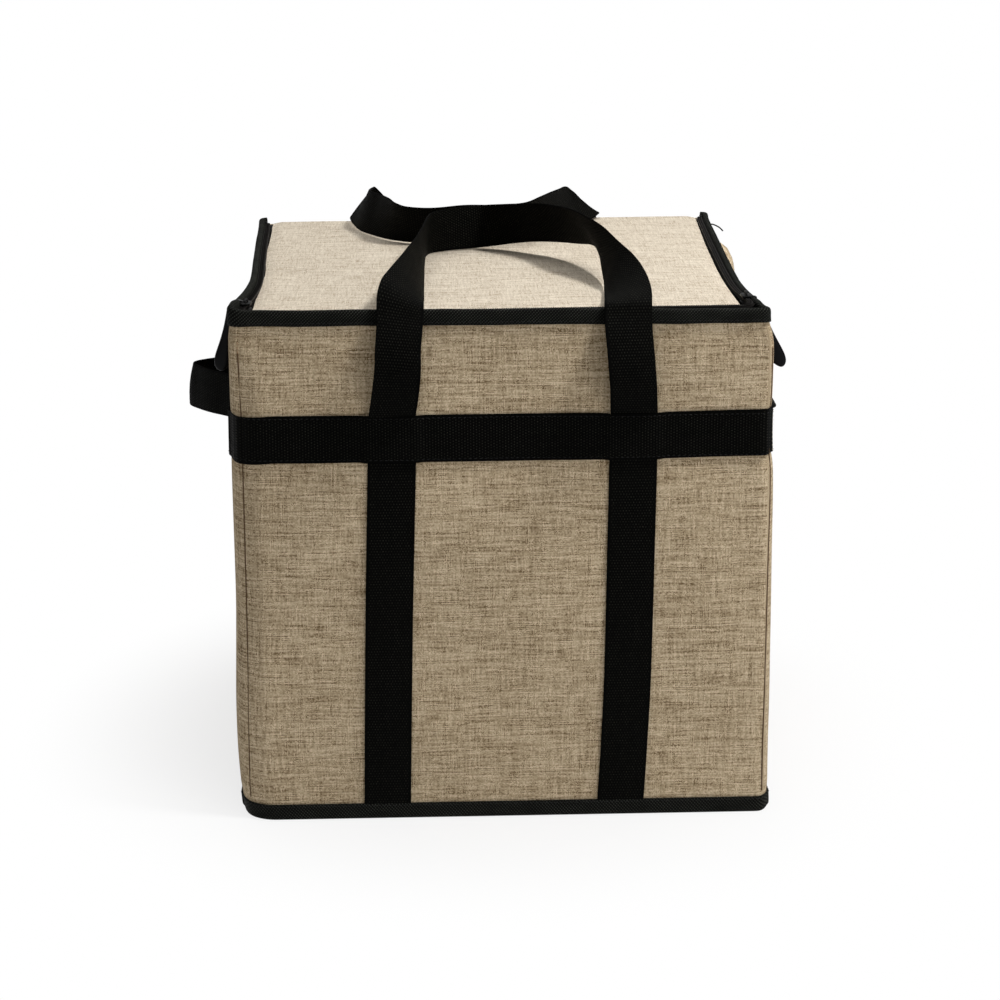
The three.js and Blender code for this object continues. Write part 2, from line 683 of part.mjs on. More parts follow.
/** Moulded grip: a drop that widens from its neck at the link to a round bulb. */
function gripGeometry(armEnd) {
  const top = bailBarZ - linkDrop - layerGap;
  const bulbX = armEnd + gripLean;
  const bulbZ = top - gripLength + gripBulbRadius;
  const drop = new THREE.Shape();
  drop.moveTo(armEnd - gripNeckWidth / 2, top);
  drop.bezierCurveTo(
    armEnd - gripNeckWidth / 2, top - gripLength / 3,
    bulbX - gripBulbRadius, bulbZ + gripLength / 3,
    bulbX - gripBulbRadius, bulbZ,
  );
  drop.absarc(bulbX, bulbZ, gripBulbRadius, Math.PI, Math.PI * 2);
  drop.bezierCurveTo(
    bulbX + gripBulbRadius, bulbZ + gripLength / 3,
    armEnd + gripNeckWidth / 2, top - gripLength / 3,
    armEnd + gripNeckWidth / 2, top,
  );
  return plateAcross(drop, 0, gripThickness, gripEdge);
}

function addPulls() {
  const armEnd = halfWidth + rimOuter - zipX + layerGap + gripNeckWidth / 2;
  for (const [word, side] of [["left", -1], ["right", 1]]) {
    const place = new THREE.Group();
    place.position.set(side * zipX, sliderFromFront - halfDepth, 0);
    bag.add(place);
    const turned = new THREE.Group();
    place.add(turned);
    if (side < 0) {
      turned.rotation.z = Math.PI;
    }
    add(`${word}_zip_slider`, sliderGeometry(), blackMetal, place);
    add(`${word}_pull_link`, linkGeometry(armEnd), blackMetal, turned);
    add(`${word}_pull_grip`, gripGeometry(armEnd), mouldedPlastic, turned);
  }
}

addOuterFabric();
addInsulation();
addLining();
addRimBinding();
addBaseBinding();
addStraps();
addBand();
addSideHandle("left", -1, leftLoopProjection, 0);
addSideHandle("right", 1, rightLoopProjection, rightLoopDroop);
addFrontHandle();
addBackHandle();
addLid();
addZip();
addPulls();

export default bag;
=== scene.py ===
import math

import bmesh
import bpy
from mathutils import Matrix, Vector, noise


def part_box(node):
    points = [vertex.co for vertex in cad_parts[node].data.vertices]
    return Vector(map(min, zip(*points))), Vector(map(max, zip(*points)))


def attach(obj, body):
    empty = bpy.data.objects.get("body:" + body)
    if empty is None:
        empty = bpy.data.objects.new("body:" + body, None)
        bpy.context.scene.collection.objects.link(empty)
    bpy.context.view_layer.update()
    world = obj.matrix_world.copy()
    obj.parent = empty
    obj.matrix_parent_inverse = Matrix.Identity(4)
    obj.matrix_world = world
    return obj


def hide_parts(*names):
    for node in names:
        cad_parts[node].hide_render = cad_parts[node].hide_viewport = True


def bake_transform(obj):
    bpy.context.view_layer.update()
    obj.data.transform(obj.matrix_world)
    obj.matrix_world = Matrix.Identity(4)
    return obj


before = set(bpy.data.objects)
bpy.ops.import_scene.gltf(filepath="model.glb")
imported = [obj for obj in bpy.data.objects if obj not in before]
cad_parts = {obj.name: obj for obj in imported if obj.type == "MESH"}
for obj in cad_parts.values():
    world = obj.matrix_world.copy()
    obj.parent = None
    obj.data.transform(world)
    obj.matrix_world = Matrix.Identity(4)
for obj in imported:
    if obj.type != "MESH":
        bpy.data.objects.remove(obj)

bl_info = {
    "name": "Insulated bag",
    "version": (1, 0, 0),
    "blender": (4, 5, 0),
    "location": "3D View > Sidebar > Bag",
    "description": "Sews the looks of the insulated bag round its packed frame",
    "category": "Object",
}

MM = 0.001


def level(node, end, axis):
    """Lowest (0) or highest (1) coordinate of a frame node along an axis, in millimetres."""
    return getattr(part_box(node)[end], axis) / MM


# Sizes of the frame, in millimetres.
HALF = level("base_panel", 1, "x")
CORNER = 7.0
NEAR_CORNER = 14
RIM_TOP = level("front_rim_binding", 1, "z")
RIM_FACE = level("front_rim_binding", 1, "x")
BINDING = level("base_binding", 1, "z")
BAND_LOW = level("webbing_band", 0, "z")
BAND_HIGH = level("webbing_band", 1, "z")
LID_TOP = level("lid_panel", 1, "z")
LID_UNDER = level("lid_lining", 0, "z")
COIL_LOW = level("body_zip_coil", 0, "z")
WALL_LOW = level("front_panel", 0, "z")
WALL_HIGH = level("front_panel", 1, "z")
BACK_HIGH = level("back_panel", 1, "z")
LINING_LOW = level("front_lining", 0, "z")
WEBBING = BAND_HIGH - BAND_LOW
PLY = 1.5
EDGE_ON = 34.5
STRAP_OUT = 1.15
UNDER_BINDING = 0.6
LOOP_OUT = 3.3
TAB_OUT = 3.0
HANDLE_STEP = 2.2
GRIP_LENGTH = 49.6
HINGE_SEAM = 371.5
FOLD_Y = 195.0

# Layers of a wall, measured inwards from the outer face of the fabric.
FABRIC_THICK = 1.0
COVER_THICK = 0.9
FOAM = (1.3, 5.3)
LINING = (5.6, 6.2)
PRESSED = 0.4

# How far the rim of each side bows inwards along the bag, front to back.
LEFT_BOW = ((-196, 0), (-184, 0.6), (-172, 2.0), (-150, 4.6), (-115, 7.8), (-77, 9.2), (4, 6.5), (92, 3.5),
            (150, 2.0), (196, 0))
RIGHT_BOW = ((-196, 0), (-189, 2.0), (-177, 6.6), (-162, 9.0), (-120, 12.0), (-67, 11.5), (-39, 10.7),
             (50, 7.5), (127, 4.4), (170, 2.4), (196, 0))
# Half-width of the lid's fabric along the bag.
LEFT_LID = ((-190, 178.4), (-142, 178.7), (-91, 178.0), (-48, 178.3), (1, 180.6), (75, 181.3), (121, 181.6),
            (196, 183.4))
RIGHT_LID = ((-190, 172.0), (-87, 171.0), (0, 173.6), (77, 176.8), (196, 183.0))
# How far each side stands out beyond the plain box, by level.
LEFT_SHAPE = ((0, 3.6), (19, 5.4), (49, 6.8), (86, 6.7), (126, 5.2), (165, 3.8), (204, 3.4), (266, 3.0), (319, 2.0),
              (352, 0.8), (371, 0.1), (378, -0.5), (390, -0.8))
RIGHT_SHAPE = ((0, 3.4), (44, 3.0), (85, 3.3), (125, 3.2), (164, 3.1), (203, 2.9), (241, 2.9), (264, 2.6), (272, 2.0),
               (280, 0.6), (309, 0.4), (317, 1.4), (345, 1.7), (362, 1.4), (373, -0.6), (379, -1.6), (390, -1.8))
# Distance of the front corner seams from the middle of the face, by level.
LEFT_SEAM = ((0, 188.2), (16, 187.8), (60, 185.9), (109, 185.6), (160, 186.6), (224, 186.4), (271, 186.2), (321, 186.9),
             (347, 188.0), (377, 189.0))
RIGHT_SEAM = ((0, 189.8), (60, 189.8), (150, 190.6), (260, 191.9), (320, 192.6), (377, 192.6))
ZIP_INSIDE_RIM = 7.4
LID_INSIDE_RIM = 9.4
BULGE = 12.5
LID_FRONT = -186.0
FRONT_ZIP = -189.0
ZIP_STEP = 4.0

# Middle lines of the straps, as rows of level and place.
LEFT_STRAP = ((0, -89.8), (94, -87.2), (172, -84.8), (276, -80.9), (320, -79.4))
RIGHT_STRAP = ((0, 85.2), (90, 89.9), (169, 91.9), (276, 94.0), (320, 94.6))
BACK_STRAPS = (-95.5, 79.5)


def length(**about):
    """Setting in metres."""
    return bpy.props.FloatProperty(unit="LENGTH", **about)


def colour(**about):
    """Setting that is a colour."""
    return bpy.props.FloatVectorProperty(subtype="COLOR", **about)


class BagSettings(bpy.types.PropertyGroup):
    """Sizes and colours of the bag's looks."""

    wall_swell: length(name="Wall swell", description="How far the foam walls wander from flat", default=0.0014)
    mouth_sag: bpy.props.FloatProperty(
        name="Mouth sag", description="Share of the bow that the side rims take inwards", default=1.0,
        min=0.0, max=1.2)
    yarn_pitch: length(
        name="Yarn pitch", description="Distance between two yarns of the outer fabric", default=0.00078)
    webbing_pitch: length(
        name="Webbing pitch", description="Distance between two ribs of the webbing", default=0.0021)
    stitch_length: length(name="Stitch length", description="Length of one sewn stitch", default=0.0026)
    stitch_pitch: length(name="Stitch pitch", description="Distance between two sewn stitches", default=0.0038)
    tooth_pitch: length(name="Tooth pitch", description="Distance between two turns of the zip coil", default=0.0016)
    yarn_light: colour(name="Light yarn", description="Colour of the pale yarn", default=(0.72, 0.595, 0.42))
    yarn_middle: colour(name="Middle yarn", description="Colour of the beige yarn", default=(0.445, 0.345, 0.22))
    # Painted light: the lid's yarns are the wall's cloth painted paler and greyer for the top light and its sheen.
    lid_light: colour(name="Lid light yarn", description="Colour of the lid's pale yarn", default=(0.72, 0.655, 0.54))
    lid_middle: colour(
        name="Lid middle yarn", description="Colour of the lid's beige yarn", default=(0.535, 0.465, 0.37))
    lid_dark: colour(
        name="Lid dark yarn", description="Colour of the lid's grey-brown yarn", default=(0.28, 0.215, 0.145))
    yarn_dark: colour(name="Dark yarn", description="Colour of the grey-brown yarn", default=(0.16, 0.105, 0.052))
    black_webbing: colour(name="Webbing", description="Colour of the webbing", default=(0.0009, 0.0009, 0.0007))
    black_binding: colour(name="Binding", description="Colour of the binding tape", default=(0.0018, 0.0019, 0.0016))
    floor_colour: colour(name="Floor", description="Colour of the floor", default=(0.8, 0.8, 0.8))


def settings():
    return bpy.context.scene.bag_settings


# ---------------------------------------------------------------- curves and the shape of the soft body


def clamp(value, low=0.0, high=1.0):
    return max(low, min(high, value))


def ease(low, high, value):
    share = clamp((value - low) / (high - low))
    return share * share * (3 - 2 * share)


def fuzz(x, y, z):
    """Soft noise between about -1 and 1."""
    return noise.noise(Vector((x, y, z)))


def cubic(t, p, m, q, n):
    """Place at a share of the smooth curve from p to q, with the slopes m and n at its ends."""
    return (2 * t**3 - 3 * t**2 + 1) * p + (t**3 - 2 * t**2 + t) * m + (3 * t**2 - 2 * t**3) * q + (t**3 - t**2) * n


def follow(table, value):
    """Value of a smooth line through the rows of a table."""
    if value <= table[0][0]:
        return table[0][1]
    if value >= table[-1][0]:
        return table[-1][1]
    row = next(k for k in range(len(table) - 1) if value <= table[k + 1][0])

    def slope(k):
        near, far = table[max(0, k - 1)], table[min(len(table) - 1, k + 1)]
        return (far[1] - near[1]) / (far[0] - near[0])

    (a, p), (b, q) = table[row], table[row + 1]
    return cubic((value - a) / (b - a), p, slope(row) * (b - a), q, slope(row + 1) * (b - a))


def sag(x, y, z):
    """Place of a point of the soft body: the mouth bows in, the front leans out at its foot, a corner is rounder."""
    side = clamp(x / HALF, -1.0)
    height = clamp(z / RIM_TOP)
    # The side walls: their own shape by level, and the rims' bow.
    bow = follow(RIGHT_BOW if x > 0 else LEFT_BOW, y) * settings().mouth_sag
    reach = ease(225, 386, z) ** 1.5 * ease(140, 190, abs(x))
    shift = side * abs(side) * follow(RIGHT_SHAPE if x > 0 else LEFT_SHAPE, z)
    shift -= math.copysign(bow * reach, x)
    # The bulge of the right wall behind the zip. The inner layers follow it less and end lower.
    within = clamp((HALF - x) / 0.6)
    billow = BULGE * ease(15, 90, y) ** 0.8 * (1 - ease(132, 166, y)) * ease(262, 352, z)
    billow = billow * ease(150, 194, x) * (1 - 0.2 * within)
    shift += billow * (1 - ease(370 - 34 * within, 377.6 - 19 * within, z))
    # The front rim is lower to the right and pressed down, and its left end stands up as an ear.
    front = 1 - ease(-195, 60, y)
    mouth = ease(376, 389, z) * (1 - ease(-186, -174, y))
    ear = 2.4 * ease(374, 390, z) * ease(182, 196, -x) * (1 - ease(-180, -164, y))
    shift -= 0.6 * ease(374, 380, z) * ease(186, 196, -x) * (1 - ease(-188, -176, y))
    lean = (5.4 + 2.4 * side) * max(0.0, 1 - z / 280) ** 0.8 * (HALF - y) / (2 * HALF)
    # Both front corners are rounder than the pattern, the left one more so.
    round_left = clamp((-170 - x) / 25)
    round_right = clamp((x - 183) / 12)
    below_rim = 1 - ease(300, 372, z)
    back = 25 * (1 - (1 - round_left**2) ** 0.5) * clamp((-150 - y) / 45) * below_rim
    back += 8 * round_right**3 * clamp((-165 - y) / 30) * below_rim
    raised = z - 0.0085 * x * height**2 * front + ear
    return Vector((x + shift, y - lean + back, raised - (1.5 + 1.0 * ease(60, 185, x)) * mouth))


def swell(x, y, z):
    """How far the foam wall stands out from flat at a point."""
    size = settings().wall_swell / MM
    place = Vector((x, y, z))
    slow = noise.noise(place / 95 + Vector((3.1, 7.7, 1.3)))
    quick = noise.noise(place / 34 + Vector((11.0, 2.0, 5.0)))
    pinch = math.exp(-(((z - (BAND_LOW + BAND_HIGH) / 2) / 26) ** 2))
    belly = ease(20, 150, z) * (1 - ease(200, 372, z))
    across = 1 - (min(abs(x), abs(y)) / HALF) ** 2
    edges = ease(8, 50, z) * (1 - ease(340, 374, z))
    corner = 1 - ease(150, 186, min(abs(x), abs(y)))
    return (size * (slow * 1.5 + quick * 0.35) + 1.6 * belly * across - 0.9 * pinch) * edges * corner


def seam_line(x, z):
    """Distance of a corner seam from the middle of the front or back face."""
    return follow(LEFT_SEAM if x < 0 else RIGHT_SEAM, z)


def outline(step):
    """Columns round the body: place, outward direction and distance run, from the back left corner by the front."""
    straight = HALF - CORNER
    edge = NEAR_CORNER / straight
    columns = []
    count = max(4, round(2 * (straight - NEAR_CORNER) / step))
    stops = [-1 + edge * k / 8 for k in range(8)]
    stops += [(-1 + edge) + 2 * (1 - edge) * k / count for k in range(count + 1)]
    stops += [1 - edge * (7 - k) / 8 for k in range(8)]
    run = 0.0
    for quarter in range(4):
        turn = Matrix.Rotation(math.pi / 2 * quarter, 2)
        for stop in stops:
            place = turn @ Vector((-HALF, -stop * straight))
            columns.append((place, turn @ Vector((-1, 0)), run + (stop + 1) * straight))
        run += 2 * straight
        for k in range(1, 6):
            angle = math.pi / 2 * k / 6
            normal = Vector((-math.cos(angle), -math.sin(angle)))
            centre = Vector((-straight, -straight))
            columns.append((turn @ (centre + normal * CORNER), turn @ normal, run + CORNER * angle))
        run += CORNER * math.pi / 2
    return columns


def run_at(columns, k, gap=2.0):
    """Distance run at a column. A piece that closes on itself ends a gap after the last one."""
    return columns[k][2] if k < len(columns) else columns[-1][2] + gap


def wall_point(column, z, inset, pressed=False):
    """Point of the wall at a level, a distance inside its outer face. A pressed layer is thin in the rim."""
    place, normal, _ = column
    out = swell(place.x, place.y, z)
    between = ease(12, 20, z) * (1 - ease(368, 378, z))
    if max(abs(normal.x), abs(normal.y)) > 0.999 and abs(place.y) >= HALF - 0.01:
        past = abs(place.x) - seam_line(place.x, z)
        out += (0.7 * ease(-0.2, 0.9, past) - 0.5 * math.exp(-((past / 0.9) ** 2))) * between
    elif abs(place.y) > HALF - CORNER - 8:
        out += 0.7 * between * ease(HALF - CORNER - 8, HALF - CORNER, abs(place.y))
    if pressed and inset > 0:
        inset *= 1 - (1 - PRESSED) * ease(362, 376, z)
    out -= inset
    return sag(place.x + normal.x * out, place.y + normal.y * out, z)


def side_column(side, y):
    """Column of the wall at a place along a side."""
    return (Vector((side * HALF, y)), Vector((side, 0)), 0.0)


def stitch_row(columns, z, inset):
    """Row of stitches along columns of the wall. The inset may be a function of the column."""
    return [(wall_point(c, z, inset(c) if callable(inset) else inset), c[1].to_3d()) for c in columns]


def face_point(x, z, out, face=-1):
    """Point on the front (-1) or back (1) face, a distance outside it, at its final place across the bag."""
    point = sag(x, face * (HALF + max(0.0, swell(x, face * HALF, z)) + out), z)
    point.x = x
    return point


def rim_line(side, y):
    """Outer line of a side rim, seen from above."""
    return sag(side * RIM_FACE, y, RIM_TOP - 1).x


def lid_edge(side, y):
    """Side edge of the lid's fabric."""
    widest = abs(rim_line(side, y)) - LID_INSIDE_RIM
    return side * min(widest, follow(RIGHT_LID if side > 0 else LEFT_LID, y))


def zip_line():
    """Line of the closed zip from the back left round the front to the back right."""
    points = []
    for side in (-1, 1):
        rail = []
        y = FOLD_Y - 12
        while y > FRONT_ZIP + 12:
            rail.append(Vector((rim_line(side, y) - side * ZIP_INSIDE_RIM, y)))
            y -= ZIP_STEP
        start = rail[-1]
        corner = Vector((start.x, FRONT_ZIP))
        end = Vector((start.x - side * 12, FRONT_ZIP))
        for k in range(1, 9):
            t = k / 8
            rail.append(start * (1 - t) ** 2 + corner * 2 * t * (1 - t) + end * t * t)
        points.append(rail)
    left, right = points
    gap = right[-1].x - left[-1].x
    count = round(gap / ZIP_STEP)
    middle = [Vector((left[-1].x + gap * k / count, FRONT_ZIP)) for k in range(1, count)]
    return left + middle + right[::-1]


class Line:
    """Smooth line through points in millimetres, followed by its length."""

    def __init__(self, points, marks=None):
        self.points = [Vector(p) for p in points]
        if marks is None:
            marks = [0.0]
            for a, b in zip(self.points, self.points[1:]):
                marks.append(marks[-1] + (b - a).length)
        self.marks = marks
        self.length = marks[-1]

    def slope(self, k):
        near, far = max(0, k - 1), min(len(self.points) - 1, k + 1)
        return (self.points[far] - self.points[near]) / (self.marks[far] - self.marks[near])

    def at(self, run):
        run = clamp(run, 0.0, self.length)
        k = 0
        while k < len(self.marks) - 2 and run > self.marks[k + 1]:
            k += 1
        gap = self.marks[k + 1] - self.marks[k]
        return cubic((run - self.marks[k]) / gap, self.points[k], self.slope(k) * gap,
                     self.points[k + 1], self.slope(k + 1) * gap)

    def heading(self, run, reach):
        """Direction of the line at a run, taken between two points a reach before and after it."""
        return (self.at(run + reach) - self.at(run - reach)).normalized()


# ---------------------------------------------------------------- mesh making


def new_mesh():
    mesh = bmesh.new()
    mesh.loops.layers.uv.new("UVMap")
    return mesh


def cloth_grid(columns, rows, place, pattern, tube=False, ring=False):
    """Blender's own grid laid over place(column, row) in millimetres. A tube closes its columns, a ring its rows."""
    mesh = new_mesh()
    weave = mesh.loops.layers.uv.active
    bmesh.ops.create_grid(mesh, x_segments=columns, y_segments=rows, size=1.0)
    seats = {v: (round((v.co.x + 1) / 2 * columns), round((v.co.y + 1) / 2 * rows)) for v in mesh.verts}
    for face in mesh.faces:
        for loop in face.loops:
            loop[weave].uv = pattern(*seats[loop.vert])
    for vert, (column, row) in seats.items():
        vert.co = Vector(place(column % columns if tube else column, row % rows if ring else row)) * MM
    if tube:
        bmesh.ops.remove_doubles(mesh, verts=mesh.verts, dist=1e-7)
        ends = [e for e in mesh.edges if e.is_boundary]
        if ends:
            bmesh.ops.holes_fill(mesh, edges=ends, sides=0)
    return mesh


def set_down(mesh, name, look, stands_for="", body="bag_body", sharp=38.0):
    """Finishes a mesh as a piece of the bag, on its body and in place of its frame nodes."""
    bmesh.ops.recalc_face_normals(mesh, faces=mesh.faces)
    for face in mesh.faces:
        face.smooth = True
    data = bpy.data.meshes.new(name)
    mesh.to_mesh(data)
    mesh.free()
    data.set_sharp_from_angle(angle=math.radians(sharp))
    piece = bpy.data.objects.new(name, data)
    bpy.context.scene.collection.objects.link(piece)
    data.materials.append(finish(look))
    if stands_for:
        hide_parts(*stands_for.split())
    if body:
        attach(piece, body)
    return piece


def thicken(mesh, thickness):
    """Gives an open sheet a thickness in millimetres, along its normals from a positive one."""
    bmesh.ops.solidify(mesh, geom=mesh.faces[:] + mesh.edges[:] + mesh.verts[:], thickness=thickness * MM)


def face_up(mesh):
    bmesh.ops.recalc_face_normals(mesh, faces=mesh.faces)
    if sum(f.normal.z for f in mesh.faces) < 0:
        bmesh.ops.reverse_faces(mesh, faces=mesh.faces)


def raise_face(mesh, face, height):
    """Turns a face into a plate of a height in millimetres."""
    lifted = bmesh.ops.extrude_face_region(mesh, geom=[face])
    corners = [part for part in lifted["geom"] if isinstance(part, bmesh.types.BMVert)]
    bmesh.ops.translate(mesh, vec=(0, 0, height * MM), verts=corners)


def round_edges(mesh, offset):
    bmesh.ops.bevel(mesh, geom=mesh.edges[:], offset=offset * MM, segments=2, profile=0.5, affect="EDGES", material=-1)


def add_bead(mesh, centre, *axes):
    """Small rounded body with the half-lengths of its three axes, in millimetres."""
    turn = Matrix(axes).transposed().to_4x4()
    turn.translation = centre
    bmesh.ops.create_icosphere(mesh, subdivisions=1, radius=1.0, matrix=Matrix.Diagonal((MM, MM, MM, 1)) @ turn)


def distances(section):
    """Distance run along a closed section at each of its points and at its end."""
    lengths = [0.0]
    for a, b in zip(section, section[1:] + section[:1]):
        lengths.append(lengths[-1] + math.hypot(b[0] - a[0], b[1] - a[1]))
    return lengths


# Half of the webbing's cross-section: share of the width, and of half the thickness.
RIBBON_TOP = ((0, 0), (0.010, 0.72), (0.035, 0.98), (0.075, 0.86), (0.11, 1), (0.3, 1), (0.5, 1), (0.7, 1), (0.89, 1),
              (0.925, 0.86), (0.965, 0.98), (0.990, 0.72), (1, 0))
RIBBON_SECTION = RIBBON_TOP + tuple((share, -lift) for share, lift in RIBBON_TOP[-2:0:-1])


def ribbon_mesh(stations, step=2.5, crumple=None):
    """Webbing between two edges. Each station is a point of one edge and the way across to the other."""
    near = [Vector(a) for a, _ in stations]
    far = [Vector(a) + Vector(b) for a, b in stations]
    marks = [0.0]
    for k in range(1, len(near)):
        marks.append(marks[-1] + ((near[k] - near[k - 1]).length + (far[k] - far[k - 1]).length) / 2)
    near, far = Line(near, marks), Line(far, marks)
    rows = max(1, round(marks[-1] / step))
    frames = []
    for row in range(rows + 1):
        run = marks[-1] * row / rows
        a, b = near.at(run), far.at(run)
        before, after = max(0.0, run - 0.5), min(marks[-1], run + 0.5)
        along = (near.at(after) + far.at(after) - near.at(before) - far.at(before)).normalized()
        across = b - a
        frames.append((a, across, across.cross(along).normalized(), run))

    def place(column, row):
        share, lift = RIBBON_SECTION[column]
        a, across, normal, run = frames[row]
        point = a + across * share + normal * (lift * PLY / 2)
        if crumple:
            point += normal * crumple(share, run)
        return point

    width = Vector(stations[0][1]).length
    count = len(RIBBON_SECTION)

    def pattern(column, row):
        return (RIBBON_SECTION[column % count][0] * width * MM, frames[row][3] * MM)

    return cloth_grid(count, rows, place, pattern, tube=True)


def stitches(rows, name, look, thick=0.5, length=None, pitch=None):
    """Rows of stitches, each along a line of (point, outward direction) pairs."""
    length = length or settings().stitch_length / MM
    pitch = pitch or settings().stitch_pitch / MM
    mesh = new_mesh()
    for row in rows:
        line = Line([p for p, _ in row])
        outward = Line([Vector(n) for _, n in row], line.marks)
        count = max(1, int(line.length / pitch))
        for k in range(count):
            run = (k + 0.5) * line.length / count
            along = line.heading(run, 0.5)
            up = outward.at(run).normalized()
            side = up.cross(along).normalized()
            up = along.cross(side)
            add_bead(mesh, line.at(run), along * length / 2, side * thick / 2, up * thick / 2)
    return set_down(mesh, name, look, sharp=180)


def zip_teeth(rail, inward, name, body, stands_for, phase=0.0):
    """Turns of a zip coil along a line, each a small rounded loop that reaches over the middle."""
    mesh = new_mesh()
    pitch = settings().tooth_pitch / MM
    line = Line([p.to_3d() for p in rail])
    for k in range(int(line.length / pitch)):
        run = (k + 0.5 + phase) * pitch
        if run > line.length:
            break
        along = line.heading(run, 0.6)
        side = Vector((-along.y, along.x, 0)) * inward
        centre = line.at(run) + side * 0.85 + Vector((0, 0, COIL_LOW + 1.0))
        add_bead(mesh, centre, along * 0.42, side * 1.05, Vector((0, 0, 0.95)))
    low, high = COIL_LOW + 0.1, COIL_LOW + 1.2
    join(mesh, swept_rail(rail, ((0.9, low), (2.1, low), (2.1, high), (0.9, high)), inward))
    return set_down(mesh, name, "zip coil", stands_for, body, sharp=50)


def join(mesh, other):
    """Moves the faces of another mesh into this one."""
    carrier = bpy.data.meshes.new("carrier")
    other.to_mesh(carrier)
    other.free()
    mesh.from_mesh(carrier)
    bpy.data.meshes.remove(carrier)


def swept_rail(rail, section, inward=1):
    """Closed section of (inwards, level) points carried along a line seen from above."""
    line = Line([p.to_3d() for p in rail])
    rows = len(rail) - 1
    lengths = distances(section)
    frames = []
    for k in range(rows + 1):
        run = line.length * k / rows
        along = line.heading(run, 0.8)
        frames.append((line.at(run), Vector((-along.y, along.x, 0)) * inward, run))

    def place(column, row):
        centre, side, _ = frames[row]
        reach, z = section[column]
        return centre + side * reach + Vector((0, 0, z))

    return cloth_grid(len(section), rows, place, lambda c, r: (lengths[c] * MM, frames[r][2] * MM), tube=True)


def wall_tape(columns, section, wave=0.0, closed=False):
    """Tape that follows the wall: a closed section of (inset, level) points carried along columns of the outline."""
    lengths = distances(section)

    def place(column, row):
        inset, z = section[column]
        here = columns[row]
        return wall_point(here, z + wave * fuzz(here[2] / 23, 4.2, z / 60), inset)

    def pattern(column, row):
        return (run_at(columns, row, 0.0) * MM, lengths[column] * MM)

    rows = len(columns) if closed else len(columns) - 1
    return cloth_grid(len(section), rows, place, pattern, tube=True, ring=closed)


def rod(points, radius, flat=1.0, sides=8):
    """Closed rod along points, wider across the Y axis by the flat share."""
    line = Line(points)
    closed = (line.points[0] - line.points[-1]).length < 1e-6
    rows = (len(points) - 1) * 2
    frames = []
    for row in range(rows + 1):
        run = line.length * row / rows
        along = line.heading(run, 0.1)
        across = Vector((0, 1, 0)) if abs(along.y) < 0.8 else Vector((1, 0, 0))
        across = (across - along * across.dot(along)).normalized()
        frames.append((line.at(run), across, along.cross(across)))

    def place(column, row):
        centre, across, up = frames[row % rows if closed else row]
        angle = 2 * math.pi * column / sides
        return centre + across * (radius * flat * math.cos(angle)) + up * (radius * math.sin(angle))

    return cloth_grid(sides, rows, place, lambda c, r: (c * 0.001, r * 0.001), tube=True, ring=closed)


# ---------------------------------------------------------------- materials


def both_ways(operation):
    """An operator of Shade and its reflected form."""
    return (lambda self, other: self.recipe.maths(operation, self, other),
            lambda self, other: self.recipe.maths(operation, other, self))


class Shade:
    """A number that varies over a surface. Python's operators on it add the Math nodes that work it out."""

    __add__, __radd__ = both_ways("ADD")
    __sub__, __rsub__ = both_ways("SUBTRACT")
    __mul__, __rmul__ = both_ways("MULTIPLY")
    __truediv__, __rtruediv__ = both_ways("DIVIDE")
    __mod__, __rmod__ = both_ways("FLOORED_MODULO")

    def __init__(self, recipe, socket):
        self.recipe = recipe
        self.socket = socket

    def floor(self):
        return self.recipe.maths("FLOOR", self)

    def size(self):
        return self.recipe.maths("ABSOLUTE", self)

    def wave(self):
        """Sine of this many whole turns."""
        return self.recipe.maths("SINE", self * (2 * math.pi))

    def ridges(self):
        """The same sine between 0 and 1."""
        return self.wave() * 0.5 + 0.5

    def step(self, low, high):
        node = self.recipe.node("ShaderNodeMapRange", {"interpolation_type": "SMOOTHSTEP"}, [self, low, high, 0.0, 1.0])
        return Shade(self.recipe, node.outputs[0])


class Bench:
    """Node tree whose nodes all come from one method."""

    def __init__(self, tree):
        self.tree = tree

    def node(self, kind, options=None, values=()):
        """Node of a type with its settings, a ramp's stops first, then its inputs by place or by name."""
        node = self.tree.nodes.new(kind)
        options = dict(options or {})
        stops = options.pop("stops", ())
        while len(stops) > 2 and len(node.color_ramp.elements) < len(stops):
            node.color_ramp.elements.new(0.5)
        for k, (position, tone) in enumerate(stops):
            node.color_ramp.elements[k].position = position
            node.color_ramp.elements[k].color = (*tone, 1.0)
        for key, value in options.items():
            setattr(node, key, value)
        for key, value in values.items() if isinstance(values, dict) else enumerate(values):
            socket, value = node.inputs[key], getattr(value, "socket", value)
            if isinstance(value, bpy.types.NodeSocket):
                self.tree.links.new(value, socket)
            elif socket.type == "RGBA":
                socket.default_value = (*value, 1.0)
            else:
                socket.default_value = value
        return node


